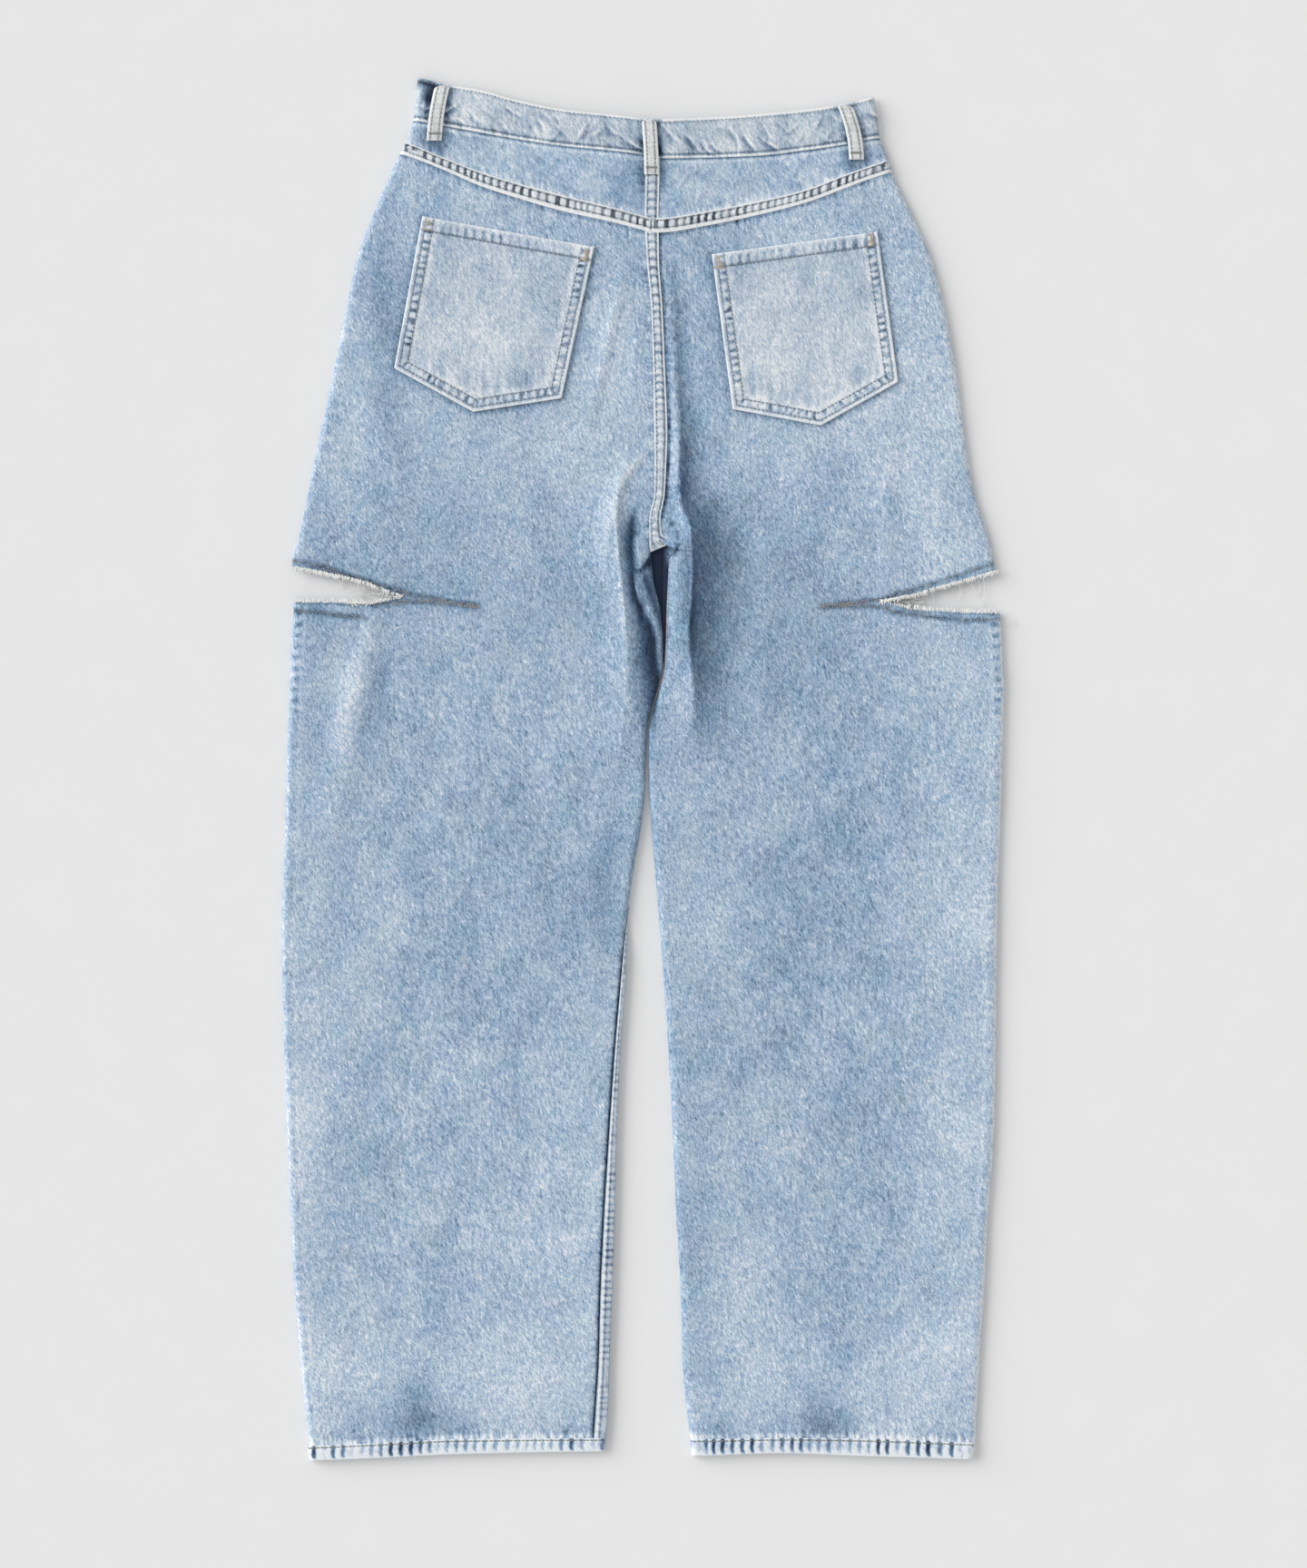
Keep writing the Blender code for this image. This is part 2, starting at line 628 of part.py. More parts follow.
def fly():
    """The fly underlap, behind the centre front, and the shank button on the waistband."""
    waist = line(TOP_LINES, "waist")(CENTRE_FRONT) - FRONT_RISE_DROP - FLY_BELOW_WAIST
    seam = line(TOP_LINES, "band_seam")(CENTRE_FRONT) - FRONT_RISE_DROP
    foot = waist - FLY_LENGTH
    below_band, at_band = seam - 8, seam - 1
    grid = []
    for y in (foot, foot + FLY_LENGTH / 4, foot + FLY_LENGTH / 2, below_band, at_band, waist):
        over_band = WAISTBAND - DENIM if y >= at_band else 0.0
        row = []
        for x in np.linspace(CENTRE_FRONT - FLY_WIDTH, CENTRE_FRONT + FLY_OVERLAP, FLY_COLUMNS):
            row.append((x, y, DENIM + FLY_GAP + over_band + DENIM + button_lift(x, y)))
        grid.append(row)
    wall("fly_underlap", grid, DENIM, DENIM_DEEP)

    x, y = button_place()
    head = bmesh.new()
    bmesh.ops.create_cone(
        head,
        cap_ends=True,
        segments=BUTTON_SEGMENTS,
        radius1=BUTTON_WIDTH / 2 * MM,
        radius2=BUTTON_WIDTH / 2 * MM,
        depth=BUTTON_HEIGHT * MM,
    )
    mesh = bpy.data.meshes.new("waist_button")
    head.to_mesh(mesh)
    head.free()
    button = add_piece("waist_button", mesh, BRASS, roughness=0.35, metallic=1.0)
    button.location = (x * MM, y * MM, BUTTON_HEIGHT / 2 * MM)
    rim = button.modifiers.new("Rounded rim", "BEVEL")
    rim.width = BUTTON_RIM * MM
    rim.segments = 2


def centre_garment():
    """Moves the empty so that the middle of the garment's box is over the origin."""
    bpy.context.view_layer.update()
    corners = []
    for piece in parts.objects:
        if piece.type == "MESH":
            corners += [piece.matrix_world @ vertex.co for vertex in piece.data.vertices]
    corners = np.array(corners)
    middle = (corners.min(axis=0) + corners.max(axis=0)) / 2
    garment.location = (-middle[0], -middle[1], 0)


for leftover in list(bpy.data.objects):
    bpy.data.objects.remove(leftover, do_unlink=True)

parts = bpy.data.collections.new("ripped_jeans")
bpy.context.scene.collection.children.link(parts)
garment = bpy.data.objects.new("garment", None)
parts.objects.link(garment)

legs, seats, yokes = {}, {}, {}
for half in ("left", "right"):
    front_panel(half)
    legs[half], seats[half] = back_panel(half)
    yokes[half] = yoke(half)
    yoke_seam(half, seats[half][-1], yokes[half][0])
    hems(half)
centre_back_seam(seats["left"], seats["right"])
yoke_centre_seam(yokes["left"], yokes["right"])
inseam_left(legs["left"])
waistband()
for shape in POCKETS:
    pocket(shape)
for shape in LOOPS:
    belt_loop(shape)
fly()
centre_garment()
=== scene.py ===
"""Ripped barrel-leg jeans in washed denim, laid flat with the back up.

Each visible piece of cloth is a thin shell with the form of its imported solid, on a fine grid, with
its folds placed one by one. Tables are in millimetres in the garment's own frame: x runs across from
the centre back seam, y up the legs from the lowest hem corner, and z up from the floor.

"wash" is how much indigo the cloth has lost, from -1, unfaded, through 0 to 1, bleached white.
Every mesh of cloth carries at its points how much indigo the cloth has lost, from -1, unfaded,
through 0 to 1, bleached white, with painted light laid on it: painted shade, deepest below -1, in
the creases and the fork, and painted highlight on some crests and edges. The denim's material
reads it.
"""

import math
from collections import namedtuple

import bpy
import numpy as np
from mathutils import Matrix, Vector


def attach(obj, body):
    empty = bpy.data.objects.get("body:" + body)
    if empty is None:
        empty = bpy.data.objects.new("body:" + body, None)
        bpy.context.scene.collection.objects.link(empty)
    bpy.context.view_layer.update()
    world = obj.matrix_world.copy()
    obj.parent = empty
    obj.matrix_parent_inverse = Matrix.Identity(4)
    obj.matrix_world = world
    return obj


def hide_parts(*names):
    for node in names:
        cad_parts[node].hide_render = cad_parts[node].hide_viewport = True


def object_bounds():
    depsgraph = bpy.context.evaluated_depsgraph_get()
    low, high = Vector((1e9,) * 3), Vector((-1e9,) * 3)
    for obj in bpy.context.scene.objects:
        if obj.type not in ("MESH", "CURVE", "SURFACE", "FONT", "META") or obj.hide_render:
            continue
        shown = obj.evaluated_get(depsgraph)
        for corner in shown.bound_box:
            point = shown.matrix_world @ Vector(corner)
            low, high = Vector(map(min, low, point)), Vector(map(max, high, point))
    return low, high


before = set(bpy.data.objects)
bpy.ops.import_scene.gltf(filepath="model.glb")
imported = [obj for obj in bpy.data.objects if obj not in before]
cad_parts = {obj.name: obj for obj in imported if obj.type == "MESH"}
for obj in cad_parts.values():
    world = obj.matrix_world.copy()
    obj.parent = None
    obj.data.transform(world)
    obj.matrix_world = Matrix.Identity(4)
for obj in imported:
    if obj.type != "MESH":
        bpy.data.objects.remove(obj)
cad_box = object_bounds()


def rows_of(kind, *rows):
    """A table of named rows."""
    return [kind(*row) for row in rows]


MM = 0.001
SEED = 41
OUTWARD = {"left": -1, "right": 1}

# Cloth, in the thicknesses that show
DENIM = 1.2
SHELL = 1.0
DOUBLED = 2.2
FELLED = 1.8
LOOP_CLOTH = 1.7
SEAM_GAP = 0.3
SEAM_RISE = 0.6
LOOP_SLACK = 1.4
FELLED_SHELL = FELLED - 0.5

# Where the rows of stitches run: a share of the way across each strip, a share of the width out
# from the middle of a belt loop, and millimetres in from the edge of a pocket
YOKE_SEAM_STITCHES = (0.33, 0.83)
CENTRE_STITCHES = (0.20, 0.80)
BAND_STITCHES = (0.095, 0.93)
HEM_STITCHES = 0.87
LOOP_STITCHES = 0.27
POCKET_STITCHES = (3.5, 9.2)
MOUTH_STITCHES = 10.4

# How the garment lies
BACK_LAYER = 6.4
LEG_SAG = 1.8
SAG_FROM, SAG_FULL, SAG_TO, SAG_END = 25.0, 120.0, 560.0, 690.0
EDGE_RADIUS = 4.5
CROTCH = 699.0
FORK_END = 701.5
KNEE = 668.0
RIDGE_TO = 500.0
SLIT_CLOSED = 0.2
CENTRE_FRONT = 8.0
FRONT_FORK = 613.0
FRONT_RISE_DROP = 9.0
FORK_OPENING = 6.5
TUCK = 1.3
BAND_ROLL = 2.0
HEM_OVER = 2.2
YOKE_SEAM_OVER = {"left": (-1.0, 0.3), "right": (0.2, 1.3)}
INSEAM_SHOWS_TO = 400.0
INSEAM_ENDS = 428.0
LEFTMOST = -286.5
ORIGIN_X = cad_box[0][0] - LEFTMOST * MM
ORIGIN_Y = cad_box[0][1]
BUTTON_OFF_CENTRE = 14.0
BUTTON_LIFT = 3.4
BUTTON_LIFT_REACH = 60.0
FLY_WIDTH, FLY_OVERLAP, FLY_LENGTH, FLY_BELOW_WAIST = 36.0, 4.0, 165.0, 2.0

# The spacing of each grid, and how many rows and columns where that is a plain number
PANEL_CELL = 3.6
PANEL_FINE = (1.0, 46.0)
ROW_CELLS = ((0, 1.5), (34, 4.0), (590, 1.35), (686, 0.95), (742, 2.2), (756, 3.4), (932, 1.8))
YOKE_CELL = 1.38
STRIP_CELL = 0.8
BAND_CELL = 0.95
FRONT_CELL, FRONT_HEM_CELL, FRONT_BAND_CELL = 6.0, 3.0, 2.4
PANEL_ROWS = ((15, 662), (670, 975))
FRONT_ROWS = (108, 58)
YOKE_ROWS, SEAM_ROWS, SEAM_COLUMNS, INSEAM_ROWS = 38, 24, 20, 540
HEM_ROWS, FRONT_HEM_ROWS, BAND_ROWS, FRONT_BAND_ROWS = 16, 6, 36, 14
POCKET_HALF, POCKET_ROWS, LOOP_ROWS, LOOP_COLUMNS = 58, 118, 70, 23
FLY_ROWS, FLY_COLUMNS = 90, 22
PLACING_ROUNDS = 14

# How wide each piece is, for the number of columns in its grid
PANEL_WIDTH, YOKE_WIDTH, HEM_WIDTH, BAND_WIDTH, FRONT_BAND_WIDTH = 262, 182, 235, 352, 176

# The garment's outline: at each height, the place across of each edge
Level = namedtuple("Level", "height left_side left_ridge left_inner right_inner right_side")
LEVELS = rows_of(Level,
    (0, -265.0, -47.0, -37.0, 29.0, 246.0), (12, -265.5, -46.5, -37.0, 28.5, 248.0),
    (40, -268.5, -44.8, -35.0, 25.5, 249.5), (76, -272.0, -42.5, -34.0, 22.5, 251.5),
    (130, -276.5, -41.0, -32.0, 21.0, 255.0), (190, -279.5, -38.2, -30.0, 17.5, 258.0),
    (250, -282.5, -34.5, -28.5, 15.0, 262.5), (310, -284.5, -30.4, -26.0, 12.0, 264.0),
    (370, -286.0, -25.3, -21.8, 8.0, 264.5), (400, -286.5, -22.5, -20.3, 5.6, 265.0),
    (430, -286.0, -19.0, -19.0, 3.4, 265.5), (455, -285.0, -15.5, -15.5, 1.2, 266.0),
    (500, -283.5, -8.1, -8.1, -2.4, 268.0), (522, -283.0, -6.3, -6.3, -3.6, 268.6),
    (560, -282.0, -5.4, -5.4, -4.2, 269.5), (580, -281.0, -1.2, -1.2, 0.0, 270.0),
    (597, -280.5, 3.8, 3.8, 5.0, 270.5), (613, -280.0, 7.2, 7.2, 8.6, 269.5),
    (636, -278.8, 7.0, 7.0, 9.4, 268.5), (656, -277.5, 5.0, 5.0, 10.0, 266.7),
    (678, -279.0, 0.0, 0.0, 11.0, 265.0), (697, -278.0, -2.0, -2.0, 12.0, 261.5),
    (707, -274.3, -3.5, -3.5, 7.0, 259.5), (725, -270.5, -3.5, -3.5, 5.8, 254.0),
    (745, -266.5, 0.2, 0.2, 9.0, 247.5), (765, -262.5, 0.7, 0.7, 10.0, 243.5),
    (790, -257.0, 0.4, 0.4, 11.0, 240.0), (845, -245.5, -0.7, -0.7, 9.0, 232.5),
    (890, -236.5, -2.2, -2.2, 7.0, 224.0), (925, -229.0, -5.4, -5.4, 4.6, 214.5),
    (958, -217.0, -7.0, -7.0, 4.3, 200.5), (992, -202.5, -6.5, -6.5, 4.9, 184.0),
    (1008, -195.0, -6.3, -6.3, 4.9, 178.8), (1021, -188.5, -6.3, -6.3, 4.9, 174.0),
    (1034, -184.8, -6.3, -6.3, 4.9, 172.8), (1066, -181.5, -6.3, -6.3, 4.9, 167.0),
)

# The lines that run across the top: the height of each at each place across
Across = namedtuple("Across", "x waist band_seam yoke_foot panel_top")
TOP_LINES = rows_of(Across,
    (-200, 1067.5, 1035.0, 1019.0, 1009.5), (-184, 1065.8, 1034.0, 1012.8, 1004.0),
    (-159, 1060.0, 1029.7, 1002.3, 994.0), (-134, 1055.8, 1025.0, 992.7, 983.0),
    (-106, 1048.0, 1020.0, 984.0, 973.7), (-69, 1040.2, 1014.3, 974.0, 963.0),
    (-31, 1036.0, 1010.3, 964.6, 954.5), (-9, 1033.4, 1007.6, 958.6, 948.7),
    (3, 1032.5, 1004.6, 955.6, 945.4), (42, 1034.0, 1005.2, 961.0, 951.0),
    (80, 1036.7, 1006.9, 968.5, 959.0), (117, 1040.3, 1011.2, 977.6, 968.6),
    (147, 1044.8, 1015.7, 989.0, 979.6), (161, 1048.3, 1018.7, 994.0, 985.0),
    (183, 1054.0, 1022.0, 1001.3, 992.4), (200, 1058.0, 1024.0, 1006.0, 998.0),
)

# The same for the hems
Hem = namedtuple("Hem", "x foot line")
HEM_LINES = rows_of(Hem,
    (-275, 0.0, 9.0), (-204, 3.0, 12.3), (-150, 5.6, 15.0), (-37, 7.6, 15.6), (29, 4.3, 15.0),
    (100, 6.3, 16.0), (155, 4.3, 15.5), (255, 1.2, 11.8),
)

# The knee slits: the cut edge below and above, and the stitched row that keeps each from running
Slit = namedtuple("Slit", "x low high")
SLIT_TIPS = {"left": -192.0, "right": 176.0}
SLIT_TAIL_ENDS = {"left": -135.0, "right": 129.5}
SLITS = {
    "left": rows_of(
        Slit, (-290, 662.5, 690.5), (-256, 662.5, 684.0), (-221, 661.0, 676.0),
        (SLIT_TIPS["left"], 665.95, 666.05), (10, 665.95, 666.05),
    ),
    "right": rows_of(
        Slit, (-5, 662.35, 662.45), (SLIT_TIPS["right"], 662.35, 662.45), (200, 657.0, 667.0),
        (231, 655.0, 675.7), (272, 653.6, 687.0),
    ),
}
SLIT_ROWS = {
    "left": (
        ((-279, 694.0), (-267, 691.6), (-248, 686.7), (-224, 678.3), (-192, 669.0), (-167, 663.8),
         (-135, 658.8)),
        ((-277, 655.2), (-265, 654.5), (-241, 651.2), (-221, 649.2)),
        ((-216, 659.0), (-201, 661.2), (-178, 661.8), (-160, 660.4), (-135, 657.4)),
    ),
    "right": (
        ((129.5, 658.9), (152, 660.8), (176, 664.2), (200, 671.3), (231, 681.0), (263, 691.6)),
        ((129.5, 657.6), (152, 659.0), (176, 658.0), (184, 654.0), (211, 650.3), (239, 647.6),
         (266, 648.2)),
    ),
}

Pocket = namedtuple("Pocket", "name mouth_left mouth_right foot_left point foot_right")
POCKETS = rows_of(Pocket,
    ("pocket_left", (-177.8, 958.3), (-45.5, 934.5),
     (-199.5, 841.4), (-138.6, 807.8), (-70.7, 818.3)),
    ("pocket_right", (44.8, 928.9), (172.2, 946.4),
     (60.9, 809.9), (128.8, 797.3), (188.3, 830.9)),
)

Loop = namedtuple("Loop", "name top_x top_y foot_x foot_y bow width under_foot")
LOOPS = rows_of(Loop,
    ("belt_loop_left", -162.4, 1058.6, -168.8, 1016.4, -0.9, 11.6, 0.0),
    ("belt_loop_centre", -3.5, 1031.8, -1.4, 989.8, 0.4, 11.2, SEAM_RISE),
    ("belt_loop_right", 147.2, 1043.6, 156.3, 1001.7, 2.0, 11.4, 0.0),
)

# Folds, by stations along each crest or trough, from the top down: how far it rises, and how far
# it reaches on its left and on its right. A crisp fold, near 1, has a sharp crest whose slopes
# flatten away from it. The large ones come first, then the soft creases.
Station = namedtuple("Station", "x y rise left right")
Fold = namedtuple("Fold", "crisp stations")


def fold_table(*rows):
    """Folds, from how crisp each one is and then its stations."""
    return [Fold(crisp, rows_of(Station, *stations)) for crisp, *stations in rows]


FOLDS = fold_table(
    (0.75, (-14, 790, 0.0, 26, 9), (-26, 752, 1.8, 30, 9), (-28.5, 725, 4.6, 32, 8),
     (-26.5, 700, 7.0, 36, 8.5), (-24, 675, 7.2, 38, 12), (-21.5, 650, 6.4, 38, 17),
     (-19.5, 620, 4.6, 38, 20), (-21, 585, 2.0, 34, 20), (-27, 530, 0.0, 30, 18)),
    (0.2, (-9, 716, 0.0, 3.5, 9), (-13.6, 708, 1.8, 3.5, 12), (-15, 696, 2.8, 3.0, 14),
     (-14, 684, 2.4, 2.6, 12), (-11.5, 671, 2.8, 2.8, 14), (-6, 657, 2.6, 3.0, 12),
     (0, 643, 2.2, 3.2, 11), (4.5, 629, 1.2, 3.4, 8), (7, 612, 0.2, 3.5, 7)),
    (0.7, (12, 905, 0.0, 5, 8), (14, 860, 1.6, 5, 9), (16, 815, 2.6, 6, 10), (19, 780, 3.4, 8, 12),
     (19.5, 758, 4.2, 9, 14), (21, 740, 5.6, 11, 20), (26, 730, 7.4, 16, 34),
     (28.7, 713, 9.2, 20, 46), (29, 687, 9.8, 19, 52), (27.8, 660, 9.4, 18, 54),
     (26, 640, 8.2, 18, 50), (27, 620, 6.6, 22, 44), (31, 600, 4.6, 28, 38),
     (30, 575, 2.4, 28, 34), (20, 545, 0.0, 26, 30)),
    (0, (-217, 660, 1.0, 9, 16), (-221, 640, 1.8, 13, 20), (-229, 600, 1.9, 18, 22),
     (-240, 545, 1.6, 21, 24), (-250, 490, 1.0, 21, 26), (-257, 400, 0.0, 20, 26)),
    (0.3, (8, 728, 0.0, 5, 2), (13, 724.5, 1.2, 6, 2.5), (18, 716, 1.8, 7, 2.5),
     (19.5, 707, 1.2, 6, 2.5), (19, 701, 0.0, 5, 2)),
    (0.2, (-4, 784, 0.0, 6, 6), (-11, 773, 1.2, 9, 7), (-27, 750, 1.3, 12, 8),
     (-36, 712, 0.9, 14, 9), (-41, 690, 0.0, 12, 10)),
    (0, (-232, 850, 0.0, 16, 16), (-214, 800, 1.1, 16, 14), (-196, 755, 1.0, 15, 13),
     (-189, 690, 0.0, 14, 14)),
    (0.3, (-20, 930, 0.0, 8, 8), (-30, 885, 1.4, 10, 8), (-42, 832, 1.5, 12, 9),
     (-58, 775, 0.0, 12, 10)),
    (0.3, (-8, 900, 0.0, 7, 6), (-13, 860, 0.9, 8, 7), (-18, 815, 0.0, 8, 8)),
    (0, (181, 785, 0.0, 12, 12), (180, 735, 0.9, 13, 10), (182, 690, 0.5, 13, 10)),
    (0, (186, 560, 0.0, 18, 16), (190, 450, 1.1, 20, 16), (196, 330, 0.0, 20, 18)),
    (0, (-52, 500, 0.0, 16, 10), (-48, 420, 1.0, 18, 12), (-46, 330, 0.0, 18, 14)),
    (0, (-222, 420, 0.0, 18, 14), (-232, 360, 0.9, 18, 14), (-238, 290, 0.0, 18, 14)),
    (0, (90, 300, 0.0, 26, 18), (104, 220, 0.7, 26, 18), (110, 150, 0.0, 24, 18)),
)

# Painted light along the creases, by stations too: how much paler or darker the cloth is painted
# there, and how far that reaches on its left and on its right. It is partly wear, where a crest
# rubbed pale or a crease kept its dye, and partly painted highlight on crests and painted shade down
# valleys and troughs.
CREASE_WEAR_AND_PAINTED_LIGHT = fold_table(
    # Painted highlight along the thigh's crest, and painted shade down the valley on its right
    (0.3, (-27.5, 742, 0.0, 4, 2), (-28.6, 722, 0.35, 5, 1.2), (-27.3, 706, 0.4, 5, 1.2),
     (-24.8, 678, 0.4, 5, 1.2), (-22.2, 652, 0.35, 5, 1.4), (-20.4, 626, 0.2, 5, 2),
     (-21, 600, 0.0, 5, 3)),
    (0.2, (-8, 741, 0.0, 3, 2), (-12, 735, -0.8, 4, 2), (-15.8, 725, -1.3, 9, 2.4),
     (-16, 712, -1.7, 12, 2.4), (-16.2, 700, -1.5, 11, 2.2), (-15.8, 690, -1.3, 9, 2.0),
     (-15.8, 680, -1.6, 8, 2.0), (-14.6, 670, -1.7, 9, 2.2), (-11, 660, -1.8, 10, 2.4),
     (-5.8, 651, -1.85, 16, 3.6), (-1.8, 642, -1.85, 20, 4.2), (0.2, 633, -1.8, 22, 4.6),
     (1.0, 616, -1.65, 26, 4.4), (3.2, 602, -1.5, 27, 4), (2, 585, -1.2, 26, 2.4),
     (0, 560, -0.4, 22, 2), (-2, 535, 0.0, 16, 2)),
    # Painted highlight on the lobe beside the fork, and painted shade in the notch between its upper
    # and its lower part
    (0.4, (-9, 719, 0.0, 1.5, 4), (-12.4, 706, 0.25, 1.2, 4), (-12.6, 692, 0.3, 1.2, 4),
     (-12, 683, 0.0, 1.2, 3), (-9.6, 671, -0.3, 1.2, 4), (-4.2, 659, -0.1, 1.4, 4),
     (0, 649, 0.1, 1.4, 3.4), (3.4, 640, 0.0, 1.4, 3), (5, 629, 0.0, 1.4, 2),
     (7.4, 616, 0.0, 1.5, 2)),
    # Painted shade on the lobe's right, where it rolls into the fork, and below the end of the seat
    # seam
    (0.1, (-9, 686, -0.7, 3, 6), (-7, 680, -1.3, 4, 7), (-3.5, 671, -1.35, 7, 6),
     (0, 661, -1.15, 6, 6), (4, 650, -0.9, 5, 6), (7.4, 640, -0.5, 4, 6), (9, 632, -0.4, 2.4, 5),
     (9, 622, 0.0, 2, 4)),
    (0.3, (0, 699, -1.5, 3, 7), (-3, 695, -1.6, 2.6, 8), (-8, 688.5, -1.3, 2, 6),
     (-12.5, 683, -0.6, 1.5, 3), (-13.5, 681, 0.0, 1.5, 2)),
    (0.2, (-3, 691, -0.9, 5, 4), (0, 681, -0.7, 5, 4), (3, 668, -0.2, 5, 4)),
    # Round the end of the seat seam: painted shade, and pale lines along its edge
    (0.5, (7.5, 728, 0.0, 1.6, 1.6), (12.2, 723.8, -1.0, 1.6, 2.0), (16.2, 717.5, -1.7, 1.9, 2.2),
     (18.4, 709, -1.8, 1.9, 2.2), (17.8, 702, -1.3, 1.8, 2.2), (16, 697, -0.6, 1.6, 2)),
    (0.4, (8, 729, 0.5, 1.2, 1.2), (11.5, 727, 0.5, 1.2, 1.2), (15.4, 723.4, 0.0, 1.2, 1.2)),
    (0.4, (14.5, 724.6, 0.0, 1, 2), (18.8, 717, 0.5, 1, 2.2), (20.2, 706, 0.3, 1, 2.2),
     (18, 696, 0.0, 1, 2)),
    # The tube of the right thigh: a painted shade line at its edge on the seam, painted highlight
    # then shade at its right edge, and painted shade in the trough beyond and over the tube
    (0.4, (8.6, 950, 0.0, 1.5, 3), (10.5, 900, -0.8, 1.5, 3), (12.5, 830, -0.8, 1.5, 3),
     (11.5, 770, -0.9, 1.5, 2.6), (9.2, 745, -0.8, 1.5, 2.4), (7.6, 731, 0.0, 1.5, 2)),
    (0.4, (16, 822, 0.0, 2, 1), (18.4, 783, 0.3, 2.5, 1), (18.8, 757, 0.25, 2.5, 1),
     (19, 742, -0.3, 3, 1), (24, 731, -0.5, 4, 1.4), (27, 712, -0.5, 4, 1.6),
     (27.6, 687, -0.4, 4, 1.6), (26.8, 660, -0.2, 4, 1.6), (25.2, 643, 0.1, 3, 1.2),
     (26.2, 625, 0.1, 3, 1.4), (29.5, 606, 0.0, 3, 2)),
    (0.3, (13, 940, 0.0, 2.5, 12), (14.5, 905, -0.7, 2.5, 17), (17, 840, -0.8, 2.5, 19),
     (20, 800, -0.95, 2.2, 22), (21, 770, -1.1, 1.8, 26), (20.5, 748, -1.2, 1.8, 34),
     (23, 735, -1.2, 2.0, 44), (28.6, 720, -1.1, 1.8, 56), (30.8, 690, -1.1, 1.8, 62),
     (30, 660, -1.15, 2, 60), (28.4, 642, -1.15, 2.4, 54), (29.5, 622, -1.0, 3, 46),
     (32, 602, -0.9, 4, 40), (34, 575, -0.6, 5, 34), (35, 540, 0.0, 5, 30)),
    (0, (16, 722, -0.4, 9, 12), (22, 705, -0.7, 11, 12), (25, 680, -0.75, 13, 12),
     (24, 655, -0.9, 13, 12), (24, 630, -0.6, 12, 12), (23, 600, 0.0, 12, 12)),
    # Painted highlight on the knee's crest, with painted shade on each side of it
    (0.3, (-216, 660, 0.2, 5, 8), (-219, 645, 0.25, 8, 10), (-225, 620, 0.25, 10, 12),
     (-231, 596, 0.25, 11, 13), (-241, 552, 0.2, 12, 14), (-250, 500, 0.0, 12, 14)),
    (0.2, (-224, 662, -0.4, 10, 4), (-228, 640, -0.3, 14, 5), (-238, 600, 0.0, 12, 6)),
    (0.2, (-206, 650, 0.0, 8, 10), (-212, 600, -0.3, 10, 14), (-224, 560, -0.3, 10, 16),
     (-236, 510, 0.0, 10, 16)),
    # A painted highlight along a fold's crest, slanting down from the seat seam on the left
    (0.3, (-3.5, 786, 0.0, 3, 2), (-9, 775, 0.35, 4, 2), (-20, 760, 0.4, 5, 2.5),
     (-28, 744, 0.3, 6, 3), (-36, 710, 0.2, 7, 4), (-42, 688, 0.0, 7, 5)),
)

# The uneven bleach over the whole garment: where, how far it reaches each way, and how much. The
# darker patches at (-208, 880), (-40, 645) and (45, 850) are painted shade: beside the hip crease,
# over the slope left of the thigh's crest, and in the trough right of the seat seam.
BleachOrPaintedShade = namedtuple("BleachOrPaintedShade", "x y across along amount")
BLEACH_AND_PAINTED_SHADE = rows_of(BleachOrPaintedShade,
    (-122, 885, 62, 85, 0.24), (126, 872, 66, 88, 0.34), (-34, 850, 24, 90, 0.10),
    (-130, 762, 80, 44, 0.26), (45, 850, 20, 90, -0.22), (212, 800, 42, 120, 0.28),
    (-232, 835, 16, 60, 0.18), (238, 560, 34, 170, 0.21), (236, 270, 26, 210, 0.23),
    (204, 120, 34, 130, 0.18), (-262, 480, 18, 150, 0.16), (-268, 230, 16, 190, 0.30),
    (-40, 645, 13, 62, -0.10), (16, 742, 8, 12, -0.45), (-72, 130, 62, 130, 0.22),
    (-150, 58, 130, 52, 0.33), (150, 56, 110, 44, 0.16), (-170, 300, 34, 60, 0.14),
    (66, 110, 34, 90, 0.14), (-238, 600, 10, 75, 0.20), (95, 690, 85, 90, -0.23),
    (-150, 690, 90, 70, -0.18), (-208, 880, 16, 70, -0.38), (-258, 640, 12, 60, -0.16),
    (-208, 560, 12, 60, -0.18), (-105, 420, 60, 80, -0.10), (-36, 440, 9, 60, -0.22),
    (120, 470, 60, 130, -0.12), (32, 180, 16, 110, -0.16), (135, 150, 30, 110, -0.08),
    (-180, 34, 22, 30, -0.80), (-150, 24, 14, 12, -0.40), (128, 24, 15, 20, -0.66),
    (150, 30, 10, 14, -0.30), (50, 20, 11, 12, -0.44), (-60, 22, 10, 8, -0.35),
    (215, 22, 12, 9, -0.35),
)


